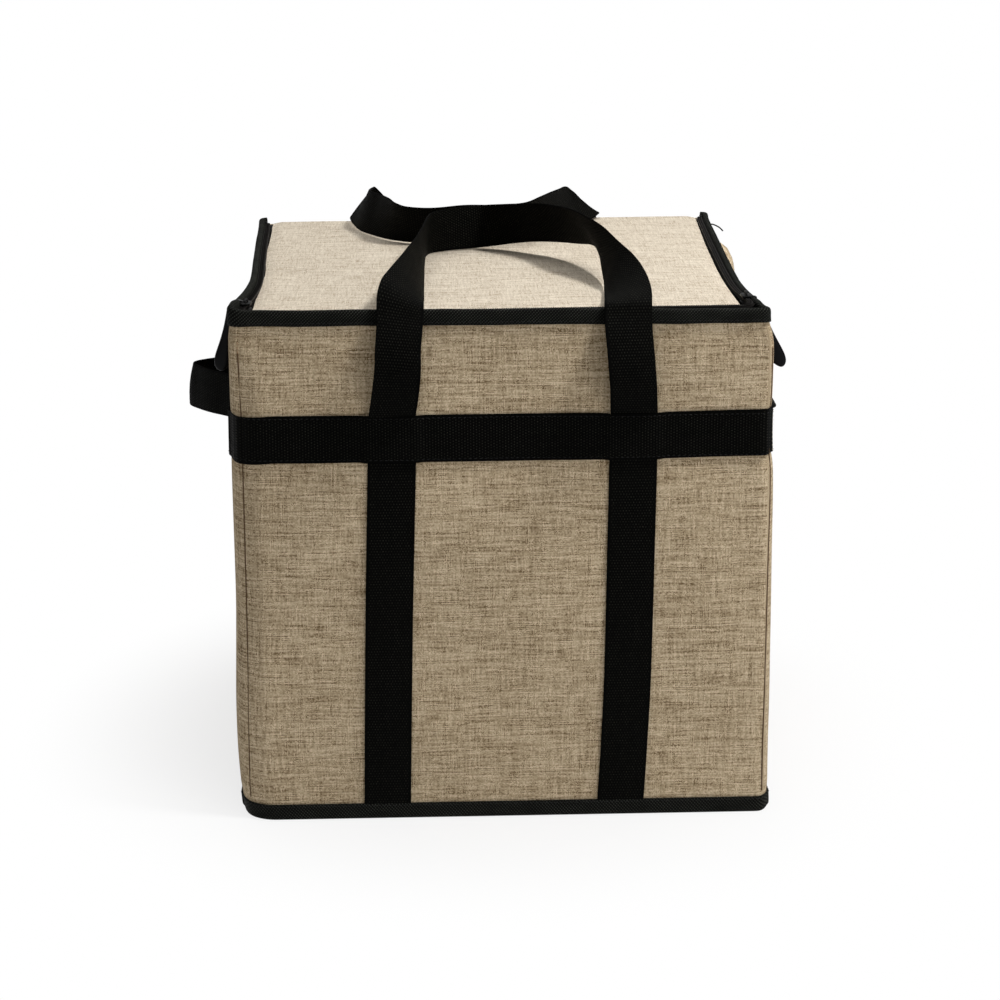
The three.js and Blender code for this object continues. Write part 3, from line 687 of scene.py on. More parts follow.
class Recipe(Bench):
    """Material with one Principled shader, built from nodes."""

    def __init__(self, name, **constants):
        self.material = bpy.data.materials.new(name)
        self.material.use_nodes = True
        super().__init__(self.material.node_tree)
        self.shader = next(n for n in self.tree.nodes if n.type == "BSDF_PRINCIPLED")
        for socket, value in constants.items():
            self.shader.inputs[socket.replace("_", " ").title().replace("Ior", "IOR")].default_value = value

    def feed(self, name, value):
        self.tree.links.new(getattr(value, "socket", value), self.shader.inputs[name])

    def maths(self, operation, *values):
        return Shade(self, self.node("ShaderNodeMath", {"operation": operation}, values).outputs[0])

    def weave(self):
        """Both directions of the piece's own pattern, in millimetres."""
        source = self.node("ShaderNodeUVMap", {"uv_map": "UVMap"})
        parts = self.node("ShaderNodeSeparateXYZ", None, [source.outputs[0]])
        return Shade(self, parts.outputs[0]) * 1000, Shade(self, parts.outputs[1]) * 1000

    def place(self):
        """Place on the bag, in metres."""
        return self.node("ShaderNodeTexCoord").outputs["Object"]

    def cloud(self, vector, scale, detail=2.0):
        """Soft noise over a vector."""
        values = {"Vector": vector, "Scale": scale, "Detail": detail, "Roughness": 0.5}
        return Shade(self, self.node("ShaderNodeTexNoise", None, values).outputs[0])

    def mottle(self, x, y, z=0.0, detail=1.0):
        """Soft noise over a stretched pattern."""
        return self.cloud(self.node("ShaderNodeCombineXYZ", None, [x, y, z]).outputs[0], 1.0, detail)

    def ramp(self, factor, dark, middle, light):
        stops = ((0.10, dark), (0.47, middle), (0.90, light))
        return self.node("ShaderNodeValToRGB", {"stops": stops}, [factor]).outputs[0]

    def blend(self, factor, first, second):
        """Mix of two colours by a factor."""
        return self.node("ShaderNodeMix", {"data_type": "RGBA"}, {0: factor, 6: first, 7: second}).outputs[2]

    def paint(self, factor, first, second):
        """Base colour between two colours by a factor."""
        self.feed("Base Color", self.blend(factor, first, second))

    def bump(self, height, strength, depth):
        """Relief from a height of 0 to 1 that stands for a depth in millimetres."""
        node = self.node("ShaderNodeBump", None, {"Strength": strength, "Distance": depth * MM, "Height": height})
        self.feed("Normal", node.outputs[0])


def tones(kind):
    """Colours of the dark, the beige and the pale yarn of a kind of cloth; the lid's kind has light painted in."""
    return [tuple(getattr(settings(), f"{kind}_{tone}")) for tone in ("dark", "middle", "light")]


def slub_weave(name, kind, contrast=1.0, hem=None):
    """Plain weave of slubby yarns. The hem may take another kind's yarns, which ends the lid's painted light."""
    recipe = Recipe(name, roughness=0.9, specular_ior_level=0.15)
    u, v = recipe.weave()
    pitch = settings().yarn_pitch / MM
    across = (u + recipe.mottle(u * 0.05, v * 0.05) * 1.2) / pitch
    up = (v + recipe.mottle(u * 0.03, v * 0.06, 2.0) * 2.4) / pitch
    warp_yarn, weft_yarn = across.floor(), up.floor()
    weft = recipe.mottle(u * 0.035, weft_yarn * 7.31, detail=2.0)
    warp = recipe.mottle(warp_yarn * 5.17, v * 0.045, 9.0, 2.0)
    slub = recipe.mottle(u * 0.085, weft_yarn * 3.77, 4.0).step(0.58, 0.70)
    knot = recipe.mottle(u * 0.9, v * 1.3, 3.0, 2.0)
    patch = recipe.mottle(u * 0.018, v * 0.05, 5.0, 2.0)
    streak = recipe.mottle(u * 0.012, v * 0.22, 8.0, 2.0)
    cell = recipe.mottle(warp_yarn * 1.37, weft_yarn * 2.11, 6.0)
    tone = (weft - 0.5) * 1.25 + (warp - 0.5) * 0.75 + (knot - 0.5) * 0.40 + (cell - 0.5) * 1.35
    tone = tone + (patch - 0.5) * 0.12 + (streak - 0.5) * 0.08 - slub * 0.05
    cloth = recipe.ramp(tone * contrast + 0.5, *tones(kind))
    if hem:
        # Past the fold the lid's painted light gives way to the wall's yarns.
        cloth = recipe.blend(v.step(*HEM), cloth, recipe.ramp(tone + 0.5, *tones(hem)))
    recipe.feed("Base Color", cloth)
    over = (warp_yarn + weft_yarn) % 2
    relief = over * up.wave().size() + (1 - over) * across.wave().size()
    recipe.bump(relief * 0.5 + tone * 0.5, 0.5, 0.4)
    return recipe.material


def ribbed_webbing(name):
    """Black webbing whose staggered ribs are painted as rows of bright dots: a painted highlight."""
    recipe = Recipe(name, roughness=0.75, specular_ior_level=0.03)
    u, v = recipe.weave()
    pitch = settings().webbing_pitch / MM
    row = (v / pitch).floor()
    dot = ((u / pitch) + (row % 2) * 0.5).ridges() * (v / pitch - 0.25).ridges()
    inside = (u - 1.6).step(0.0, 0.6) * (33.4 - u).step(0.0, 0.6)
    lint_and_glint = recipe.mottle(u * 0.2, v * 0.04, 2.0, 3.0)
    speck = recipe.mottle(u * 0.7, v * 0.7, 6.0)
    base = tuple(settings().black_webbing)
    # Painted highlight: rib dots up to 31 times the webbing's black, more where the lint mottle and specks are high.
    light = dot * dot * dot * inside * (lint_and_glint * 0.7 + speck.step(0.35, 0.7) * 0.8)
    recipe.paint(light, base, tuple(c * 31 for c in base))
    recipe.feed("Roughness", 0.72 - lint_and_glint * 0.1 - light * 0.1)
    recipe.bump(dot * inside + (1 - inside) * (v / 1.1).ridges() * 0.6, 0.8, 0.45)
    return recipe.material


def twill_binding(name):
    """Black tape with a diagonal twill, whose ridges are painted brighter as a painted highlight."""
    recipe = Recipe(name, roughness=0.76, specular_ior_level=0.04)
    u, v = recipe.weave()
    twill = ((u - v * 0.9) / 2.5).ridges()
    cross = ((u + v * 0.7) / 2.0).ridges()
    wear = recipe.mottle(u * 0.05, v * 0.12, 7.0, 3.0)
    base = tuple(settings().black_binding)
    # Painted highlight: twill ridges up to 34 times the binding's black, more where the wear mottle is high.
    light = twill * twill * cross * (wear * 1.2 + 0.1)
    recipe.paint(light, base, tuple(c * 34 for c in base))
    recipe.feed("Roughness", 0.76 - wear * 0.12)
    recipe.bump(twill * 0.7 + cross * 0.3, 0.75, 0.4)
    return recipe.material


def tape_weave(name):
    """Zip tape with fine lengthwise ribs."""
    recipe = Recipe(name, roughness=0.75, specular_ior_level=0.04)
    u, v = recipe.weave()
    rib = (v / 0.9).ridges()
    wear = recipe.mottle(u * 0.2, v * 0.04, 1.0, 2.0)
    light = rib * 0.5 + wear * 0.4
    recipe.paint(light, (0.004, 0.0035, 0.0032), (0.014, 0.0125, 0.0115))
    recipe.bump(rib, 0.6, 0.25)
    return recipe.material


def foil_film(name):
    """Creased foil."""
    recipe = Recipe(name, metallic=0.85, roughness=0.3)
    place = recipe.place()
    crease = recipe.node("ShaderNodeTexVoronoi", {"feature": "DISTANCE_TO_EDGE"}, {"Vector": place, "Scale": 42.0})
    line = Shade(recipe, crease.outputs[0]).step(0.0, 0.16)
    cloudy = recipe.cloud(place, 22.0)
    recipe.paint(cloudy, (0.56, 0.57, 0.585), (0.74, 0.745, 0.75))
    recipe.feed("Roughness", cloudy * 0.22 + 0.2)
    recipe.bump(line * 0.5 + cloudy * 0.6, 0.45, 1.0)
    return recipe.material


def speckled(name, first, second, scale, detail, relief, spread=0.0, **constants):
    """Two colours in fine specks, which raise the surface and may spread its roughness."""
    recipe = Recipe(name, **constants)
    speck = recipe.cloud(recipe.place(), scale, detail)
    recipe.paint(speck, first, second)
    if spread:
        recipe.feed("Roughness", speck * spread + (constants["roughness"] - spread / 2))
    recipe.bump(speck, *relief)
    return recipe.material


def sewing_thread(name, first, second):
    return speckled(name, first, second, 2500.0, 2.0, (0.5, 0.15), roughness=0.7, specular_ior_level=0.15)


def worn_black(name, base, bright, rough, metal=0.0):
    """Black plastic or lacquered metal with a faint orange-peel and rubbed patches."""
    recipe = Recipe(name, metallic=metal, roughness=rough, specular_ior_level=0.08)
    rub = recipe.cloud(recipe.place(), 400.0 / 3, 3.0)
    recipe.paint(rub, base, bright)
    recipe.feed("Roughness", rub * 0.18 + (rough - 0.09))
    recipe.bump(recipe.cloud(recipe.place(), 400.0), 0.15, 0.1)
    return recipe.material


def white_floor(name):
    """Pale floor that keeps the bag's soft shadow and is white further out."""
    recipe = Recipe(name, roughness=0.9, specular_ior_level=0.1)
    centre = recipe.node("ShaderNodeVectorMath", {"operation": "LENGTH"}, [recipe.place()])
    far = Shade(recipe, centre.outputs["Value"]).step(0.195, 0.40)
    tint = tuple(settings().floor_colour)
    shade = recipe.cloud(recipe.place(), 3.0)
    recipe.paint(shade, tint, tuple(min(1.0, c * 1.03) for c in tint))
    seen = recipe.node("ShaderNodeLightPath")
    camera, glossy, through = (Shade(recipe, seen.outputs[f"Is {kind} Ray"]) for kind in (
        "Camera", "Glossy", "Transmission"))
    ray = (camera + glossy + through).step(0.0, 1.0)
    glow = recipe.node("ShaderNodeEmission", None, {"Color": (1, 1, 1), "Strength": 1.0})
    share = ray * (far * 0.28 + 0.72)
    mix = recipe.node("ShaderNodeMixShader", None, [share, recipe.shader.outputs[0], glow.outputs[0]])
    output = next(n for n in recipe.tree.nodes if n.type == "OUTPUT_MATERIAL")
    recipe.tree.links.new(mix.outputs[0], output.inputs[0])
    return recipe.material


# Levels, as distance along the cover in mm, between which the lid's cloth with painted light takes the wall's yarns.
HEM = (377.0, 385.0)

# Each look by its material's name: its slot, what makes it, and with which colours and values.
LOOKS = {
    "wall weave": ("fabric", slub_weave, "yarn"),
    # The lid's cloth has paler yarns as painted light from above, and the wall's yarns past the fold.
    "lid weave": ("fabric", slub_weave, "lid", 0.95, "yarn"),
    "black webbing": ("webbing", ribbed_webbing),
    "twill binding": ("binding", twill_binding),
    "zip tape": ("zip_tape", tape_weave),
    "foil film": ("foil_lining", foil_film),
    "foam sheet": ("foam", lambda name: speckled(
        name, (0.70, 0.70, 0.67), (0.84, 0.84, 0.82), 900.0, 2.0, (0.4, 0.3), roughness=0.9)),
    "board plastic": ("base_board", lambda name: speckled(
        name, (0.6, 0.6, 0.58), (0.7, 0.7, 0.68), 300.0, 3.0, (0.3, 0.2), 0.2, roughness=0.5)),
    "zip coil": ("zip_coil", worn_black, (0.005, 0.0045, 0.004), (0.016, 0.0145, 0.0135), 0.45),
    "black metal": ("black_metal", worn_black, (0.006, 0.006, 0.006), (0.02, 0.02, 0.02), 0.36, 0.6),
    "moulded grip": ("moulded_grip", worn_black, (0.0016, 0.0016, 0.002), (0.004, 0.004, 0.005), 0.35),
    "dark thread": ("webbing", sewing_thread, (0.004, 0.004, 0.004), (0.02, 0.02, 0.02)),
    "brown thread": ("fabric", sewing_thread, (0.10, 0.065, 0.038), (0.2, 0.13, 0.08)),
    "rust thread": ("fabric", sewing_thread, (0.24, 0.12, 0.055), (0.36, 0.2, 0.1)),
    "seam shade": ("fabric", sewing_thread, (0.085, 0.05, 0.025), (0.14, 0.09, 0.05)),
    "pale thread": ("webbing", sewing_thread, (0.45, 0.40, 0.32), (0.65, 0.6, 0.5)),
    "pale floor": (None, white_floor),
}
MADE = {}


def finish(look):
    """Material of a look, made the first time it is asked for."""
    if look not in MADE:
        _, maker, *values = LOOKS[look]
        MADE[look] = maker(look, *values)
    return MADE[look]


# ---------------------------------------------------------------- pieces of the bag


class BagStep(bpy.types.Operator):
    """Common ground of the operators that make the bag's pieces."""

    bl_options = {"REGISTER", "UNDO"}


class BAG_OT_walls(BagStep):
    """Outer fabric, foam and foil lining of the four walls, and the layers of the base."""

    bl_idname = "bag.walls"
    bl_label = "Walls and base"

    def execute(self, context):
        height = WALL_HIGH - WALL_LOW
        outer = [(0.0, WALL_LOW + height * k / 98) for k in range(99)]
        inner = [(FABRIC_THICK, WALL_HIGH - height * k / 30) for k in range(31)]
        self.layer("wall_fabric", outline(4.0), outer + inner, "wall weave", "panel")
        section = self.faces(FOAM, WALL_LOW, WALL_HIGH - 0.6, 42)
        pad = self.layer("wall_foam", outline(9.0), section, "foam sheet", "foam")
        section = self.faces(LINING, LINING_LOW, WALL_HIGH - 0.3, 62)
        self.layer("wall_lining", outline(6.0), section, "foil film", "lining", crease=0.5)
        self.base()
        return {"FINISHED"}

    def faces(self, insets, low, high, rows):
        """Section of a layer: up its outer face and down its inner one."""
        outer = [(insets[0], low + (high - low) * k / rows) for k in range(rows + 1)]
        return outer + [(insets[1], z) for _, z in reversed(outer)]

    def layer(self, name, columns, section, look, part, crease=0.0):
        count = len(section)

        def place(column, row):
            here = columns[column]
            inset, z = section[row]
            back = ease(HALF - 7.5, HALF - 1.0, here[0].y)
            z = min(z, z + (BACK_HIGH - 1.2 - WALL_HIGH) * back * ease(300, WALL_HIGH, z))
            if crease and row >= count // 2:
                inset += crease * fuzz(here[2] / 26, z / 31, 8.0) + crease
            return wall_point(here, z, inset, pressed=True)

        def pattern(column, row):
            run = run_at(columns, column)
            jump = 55.5 * math.floor((run + 8) / (2 * (HALF - CORNER) + CORNER * math.pi / 2))
            return (run * MM, (section[row % count][1] + jump) * MM)

        mesh = cloth_grid(len(columns), count, place, pattern, tube=True, ring=True)
        nodes = " ".join(f"{side}_{part}" for side in ("front", "back", "left", "right"))
        return set_down(mesh, name, look, nodes, sharp=60)

    def base(self):
        mesh = new_mesh()
        weave = mesh.loops.layers.uv.active
        sheet = mesh.faces.new([mesh.verts.new(wall_point(c, 0.25, 0.2) * MM) for c in outline(30.0)])
        raise_face(mesh, sheet, COVER_THICK)
        for face in mesh.faces:
            for loop in face.loops:
                loop[weave].uv = loop.vert.co.xy
        set_down(mesh, "base_sheet", "wall weave", "base_panel")
        for node, name, look, count, ripple in (
                ("base_foam", "base_pad", "foam sheet", 24, 0.0), ("base_lining", "base_film", "foil film", 60, 0.5),
                ("base_board", "base_plate", "board plastic", 24, 0.0)):
            low, high = (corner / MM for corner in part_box(node))

            def place(column, row, low=low, high=high, count=count, ripple=ripple):
                x = low.x + (high.x - low.x) * column / count
                y = low.y + (high.y - low.y) * row / count
                spot = sag(x, y, low.z)
                return (spot.x, spot.y, low.z + ripple * abs(fuzz(x / 38, y / 38, 2.0)) + ripple / 5)

            mesh = cloth_grid(count, count, place, lambda c, r: (c * 0.006, r * 0.006))
            thicken(mesh, low.z - high.z)
            piece = set_down(mesh, name, look, node)


# Sections of the two binding tapes, as rows of inset and level.
RIM_SECTION = ((-1.3, 377.3), (-1.45, 378.2), (-1.42, 382), (-1.45, 386), (-1.25, 388.2), (-0.7, 389.4), (0.2, 390.0),
               (1.3, 390.1), (2.4, 389.9), (3.3, 389.2), (3.8, 388.0), (3.9, 384), (3.9, 378.2), (3.55, 377.3),
               (3.1, 378), (2.95, 384), (2.9, 387.2), (2.4, 388.5), (1.3, 389.05), (0.2, 388.9), (-0.3, 388.0),
               (-0.4, 384), (-0.4, 378), (-0.8, 377.1))
FOOT_SECTION = ((-0.35, 0.5), (-0.35, 6), (-0.4, 11.7), (-0.8, 12.3), (-1.4, 12.0), (-1.75, 10.9), (-1.9, 7),
                (-2.0, 3.5), (-1.9, 1.6), (-1.2, 0.35), (-0.3, 0.0), (1.5, 0.0), (4.0, 0.0), (4.0, 0.18), (0.6, 0.2))


class BAG_OT_bindings(BagStep):
    """Binding tape over the rim and round the base, with its topstitching."""

    bl_idname = "bag.bindings"
    bl_label = "Binding tapes"

    def execute(self, context):
        columns = outline(1.2)
        around = columns[-1][2] + CORNER * math.pi / 12
        columns = [(place, normal, run - around) for place, normal, run in columns[-5:]] + columns[:-5]

        front = [c for c in columns if c[0].y < -(HALF - 5.5)]
        left, right = ([c for c in columns if side * c[0].x > HALF - CORNER + 0.1 and c[0].y > -(HALF - 5.2)]
                       for side in (-1, 1))
        for name, run in (("front", front), ("left", left), ("right", right)):
            mesh = wall_tape(run, RIM_SECTION, wave=0.5)
            set_down(mesh, f"{name}_rim_tape", "twill binding", f"{name}_rim_binding")
        rows = [stitch_row(run[::6], 379.8, -1.52) for run in (front, left, right)]
        stitches(rows, "rim_topstitch", "dark thread", thick=0.6)
        mesh = wall_tape(outline(3.0), FOOT_SECTION, closed=True)
        set_down(mesh, "base_tape", "twill binding", "base_binding")
        ring = outline(8.0)
        stitches([stitch_row(ring + ring[:1], 10.6, -1.85)], "base_topstitch", "dark thread", thick=0.6)
        return {"FINISHED"}


class BAG_OT_seams(BagStep):
    """Stitched seams down the four corners, with a dark rod in each groove as painted shade."""

    bl_idname = "bag.seams"
    bl_label = "Corner seams"

    def execute(self, context):
        rows = []
        for face in (-1, 1):
            for side in (-1, 1):
                row = []
                z = BINDING + 3.0
                while z < RIM_TOP - BINDING - 2:
                    seam = seam_line(side, z)
                    past = max(0.0, seam - (HALF - CORNER))
                    depth = (CORNER**2 - past**2) ** 0.5
                    place = Vector((side * min(seam, HALF - CORNER + past), face * (HALF - CORNER + depth)))
                    normal = Vector((side * past, face * depth)) / CORNER
                    row.append((wall_point((place, normal, 0.0), z, -0.05), normal.to_3d()))
                    z += 9.0
                rows.append(row)
        # Painted shade: a thin dark rod down each seam stands for the shade in its groove.
        mesh = new_mesh()
        for row in rows:
            join(mesh, rod([point for point, _ in row[::2]], 0.6, sides=6))
        set_down(mesh, "corner_seams", "seam shade")
        stitches(rows, "corner_stitches", "rust thread", thick=0.62, pitch=3.4)
        return {"FINISHED"}


def over_straps(column):
    """How far the band stands out where it passes over a strap."""
    place = column[0]
    middle = (BAND_LOW + BAND_HIGH) / 2
    if place.y < -HALF + 1:
        centres = (follow(LEFT_STRAP, middle), follow(RIGHT_STRAP, middle))
    elif place.y > HALF - 1:
        centres = BACK_STRAPS
    else:
        return 0.0
    near = min(abs(place.x - c) for c in centres)
    return 1.9 * (1 - ease(WEBBING / 2 + 0.6, WEBBING / 2 + 5.5, near))


class BAG_OT_band(BagStep):
    """Webbing band round the body, over the straps."""

    bl_idname = "bag.band"
    bl_label = "Band"

    def execute(self, context):
        columns = outline(2.5)
        section = [(-0.35 - (lift + 1) * PLY / 2, BAND_LOW + share * WEBBING) for share, lift in RIBBON_SECTION]

        def place(column, row):
            here = columns[row]
            inset, z = section[column]
            front = 1 - ease(-HALF, -HALF + 12, here[0].y)
            wave = 0.35 * fuzz(here[2] / 60, 1.0, 0.0)
            wave += 0.9 * ease(100, 190, here[0].x) * front - 1.6 * ease(160, 190, -here[0].x) * front
            return wall_point(here, z + wave, inset - over_straps(here))

        def pattern(column, row):
            return (RIBBON_SECTION[column % len(section)][0] * WEBBING * MM, run_at(columns, row) * MM)

        mesh = cloth_grid(len(section), len(columns), place, pattern, tube=True, ring=True)
        set_down(mesh, "body_band", "black webbing", "webbing_band")
        ring = outline(6.0)
        rows = [stitch_row(ring + ring[:1], z, lambda c: -2.0 - over_straps(c))
                for z in (BAND_LOW + 2.2, BAND_HIGH - 2.2)]
        stitches(rows, "band_stitches", "dark thread")
        column = (Vector((HALF - 1.0, -HALF + 1.3)), Vector((0.9, -0.44)), 0.0)
        row = [stitch_row([column], BAND_LOW + 1.5 + (WEBBING - 3) * k / 11, -1.9)[0] for k in range(12)]
        stitches([row], "band_end_stitches", "pale thread", thick=0.7, length=1.5, pitch=2.9)
        return {"FINISHED"}


class BAG_OT_straps(BagStep):
    """Straps on the front, and on the back with their turn over the lid's fold."""

    bl_idname = "bag.straps"
    bl_label = "Straps"

    def execute(self, context):
        half = WEBBING / 2
        for word, table in (("left", LEFT_STRAP), ("right", RIGHT_STRAP)):
            stations = []
            z = BINDING - 2.5
            while z < BAND_HIGH - 8:
                x = follow(table, z)
                near, far = (face_point(x + across, z, STRAP_OUT) for across in (-half, half))
                across = far - near
                if z < BINDING + 1.5:
                    near.y += UNDER_BINDING
                stations.append((near, across))
                z += 9.0
            mesh = ribbon_mesh(stations)
            set_down(mesh, f"front_{word}_strap_webbing", "black webbing", f"front_{word}_strap")
        for word, x in (("left", BACK_STRAPS[0]), ("right", BACK_STRAPS[1])):
            stations = []
            middle = [(z, STRAP_OUT) for z in range(24, 366, 12)]
            for z, out in [(BINDING - 1, 0.9), *middle, (372, 1.8), (379, 2.3)]:
                near = face_point(x - half, z, out, 1)
                stations.append((near, face_point(x + half, z, out, 1) - near))
            for y, z in ((HALF + 2.2, 384.5), (HALF + 0.9, 387.6), (HALF - 2.0, 389.1), (HALF - 6.0, 389.2)):
                stations.append((Vector((x - half, y, z)), Vector((WEBBING, 0, 0))))
            mesh = ribbon_mesh(stations)
            piece = set_down(mesh, f"back_{word}_strap_webbing", "black webbing", f"back_{word}_strap", body=None)
            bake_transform(piece)
        return {"FINISHED"}


# Stations of the front handle: a point of its first edge, and the way across to the other.
LEFT_LEG = ((-63.9, -196.9, 299, -34, 0, 0), (-63.2, -197.9, 310, -34, 0, 0), (-61.4, -203.4, 322, -34, 0.5, 0),
            (-59.8, -209.0, 335, -33.6, 0.5, 1), (-58.6, -211.2, 349, -33, 0.5, 2),
            (-58.4, -209.6, 362, -32.5, 0.6, 3), (-57.2, -205.4, 374, -32.6, 0.8, 3.5),
            (-56.3, -200.4, 384, -33.2, 0.6, 6), (-55.9, -197.2, 390.5, -32.8, 1.0, 11),
            (-55.7, -192.0, 392.6, -29.8, 1.5, 18))
# Next on its left leg: Y, level and turn from flat in degrees, and the edge's X by Y.
LEFT_LEG_TURN = ((-184, 391.8, 41), (-172, 390.6, 52), (-158, 389.6, 59), (-140, 389.0, 66), (-118, 388.8, 74),
                 (-84, 388.7, 83), (-52, 388.6, 89), (-20, 388.6, 93), (4, 388.6, 96))
LEFT_LEG_PLACE = ((-160, -55.7), (-94, -55.2), (-10, -54.1), (10, -53.2))
# Over the lid, then down the right leg.
HANDLE_RUN = ((-52.0, 15, 388.5, 3.2, -2.6, 34.2), (-49.5, 22.5, 388.5, 3.6, -3.6, 34.1),
              (-44, 28.5, 388.5, 2.8, -3.9, 34.2), (-30.8, 36, 388.6, 0.2, -1.8, 34.4),
              (-9.5, 44, 388.9, -2.6, -1.6, 34.3), (1, 43.5, 390.0, -6.0, -1.9, 33.9),
              (18, 35, 393.5, -10.2, -4.2, 32.7), (34.6, 20, 397.2, -11.3, -5.9, 32.0),
              (51.1, 4, 399.6, -12.0, -5.2, 31.9), (66.4, -21, 402.6, -15.0, -4.0, 30.8),
              (76.8, -45, 405.4, -17.2, -5.2, 29.4))
RIGHT_LEG = ((80.0, -66, 400.6, -9.6, -9.6, 31.7), (80.0, -84, 395.4, -1.0, -8.2, 33.5),
             (79.6, -100, 392.0, 4.6, -5.8, 33.7), (79.0, -115, 390.2, 8.8, -3.1, 33.2),
             (77.8, -130, 389.7, 14.0, -1.4, 31.5), (76.7, -145, 389.9, 20.8, -0.9, 27.5),
             (75.6, -158, 390.4, 26.6, -1.0, 21.9), (74.6, -170, 391.2, 30.6, -0.9, 15.9),
             (73.8, -182, 392.2, 33.2, -0.6, 9.0), (72.9, -192.0, 392.8, 34.2, 0, 3.5),
             (72.4, -197.4, 391.2, 34.2, 0, 1), (72.3, -200.0, 385, 34.2, 0, 0), (72.5, -205.8, 374, 34, 2, 0),
             (73.6, -210.2, 360, 34, 3, 0), (74.6, -211.6, 347, 34, 3, 0), (75.8, -208.8, 334, 34, 2, 0),
             (76.6, -203.2, 322, 34, 1, 0), (77.3, -197.9, 310, 34, 0, 0), (77.0, -196.9, 299, 34, 0, 0))


def split(rows):
    return [(row[:3], row[3:]) for row in rows]


class BAG_OT_front_handle(BagStep):
    """Front handle: its legs leave the band, bow off the face, turn over the rim and carry the run over the lid."""

    bl_idname = "bag.front_handle"
    bl_label = "Front handle"

    def execute(self, context):
        turned = []
        for y, z, turn in LEFT_LEG_TURN:
            angle = math.radians(turn)
            across = Vector((-math.cos(angle), 0, math.sin(angle))).normalized() * EDGE_ON
            turned.append((Vector((follow(LEFT_LEG_PLACE, y), y, z)), across))
        stations = split(LEFT_LEG) + turned + split(HANDLE_RUN + RIGHT_LEG)

        def crumple(share, run):
            fold = math.exp(-(((run - 62 + 26 * share) / 5.0) ** 2)) * math.exp(-(((share - 0.2) / 0.3) ** 2))
            return 0.5 * fuzz(share * 1.5, run / 40, 3.0) - 3.4 * fold

        mesh = ribbon_mesh(stations, step=HANDLE_STEP, crumple=crumple)
        piece = set_down(mesh, "front_handle_webbing", "black webbing", "front_handle", body=None)
        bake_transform(piece)
        return {"FINISHED"}


# Stations of the back handle: a point of its lower edge, and the direction of the other.
BACK_HANDLE = ((-113.4, 191.2, 389.6, 1, 0, 0.04), (-115.6, 189.0, 390.0, 0.9, 0, 0.45),
               (-116.4, 186.0, 390.4, 0.66, 0, 0.76), (-116.2, 179, 390.0, 0.60, 0, 0.82),
               (-114.4, 167, 389.2, 0.50, -0.04, 0.88), (-111.8, 153, 388.8, 0.40, -0.10, 0.95),
               (-109.2, 140, 388.6, 0.36, -0.04, 1), (-105.0, 127, 388.6, 0.30, 0.08, 1),
               (-98.1, 113, 388.6, 0.26, 0.10, 1), (-90.0, 99, 388.6, 0.14, 0.06, 1),
               (-81.7, 87, 388.6, 0.02, -0.04, 1), (-73, 79.5, 388.6, -0.12, -0.22, 1),
               (-63.9, 74, 388.6, -0.13, -0.40, 1), (-45, 69.5, 388.6, -0.06, -0.47, 1),
               (-20, 68, 388.6, 0.0, -0.32, 1), (5, 70, 388.6, 0.05, -0.35, 1), (25, 76, 388.6, 0.10, -0.30, 1),
               (42, 89, 388.6, 0.0, -0.10, 1), (57, 108, 388.6, -0.16, 0.02, 1), (70, 130, 388.6, -0.30, 0.04, 1),
               (80.5, 150, 388.6, -0.40, 0.04, 0.97), (89, 166, 388.9, -0.52, -0.30, 0.84),
               (95.0, 178, 389.8, -0.58, -0.55, 0.70), (98.6, 186, 390.8, -0.60, -0.70, 0.50),
               (99.0, 189.2, 391.0, -0.80, -0.50, 0.34), (97.0, 191.2, 390.6, -1, -0.1, 0.1))


class BAG_OT_back_handle(BagStep):
    """Back handle: it comes over the hinge fold, stands up on its edge and crosses the lid behind the front one."""

    bl_idname = "bag.back_handle"
    bl_label = "Back handle"

    def execute(self, context):
        stations = [(point, Vector(across).normalized() * EDGE_ON) for point, across in split(BACK_HANDLE)]

        def crumple(share, run):
            return 0.5 * fuzz(share * 1.5, run / 38, 9.0)

        mesh = ribbon_mesh(stations, step=HANDLE_STEP, crumple=crumple)
        set_down(mesh, "back_handle_webbing", "black webbing", "back_handle", "back_handle")
        return {"FINISHED"}


# Plan of a side loop: Y, and how far its top and bottom edge stand out.
LOOP_SHAPE = ((-77.6, 0, 0), (-76, 0.1, 0.1), (-71, 0.5, 0.4), (-66, 2.2, 1.6), (-59.5, 8.2, 6.0), (-52.3, 15.5, 13.2),
              (-46, 21.6, 20.4), (-38, 27.6, 28), (-29, 32.6, 35), (-22.5, 36.2, 39.6), (-17, 36.6, 42),
              (-12, 33.8, 42), (-7, 28.5, 38.5), (-1, 20.8, 31), (6, 11.8, 20.5), (13, 5.0, 10), (21, 1.4, 3.2),
              (31, 0.3, 0.6), (42, 0.1, 0.1), (46.4, 0, 0))


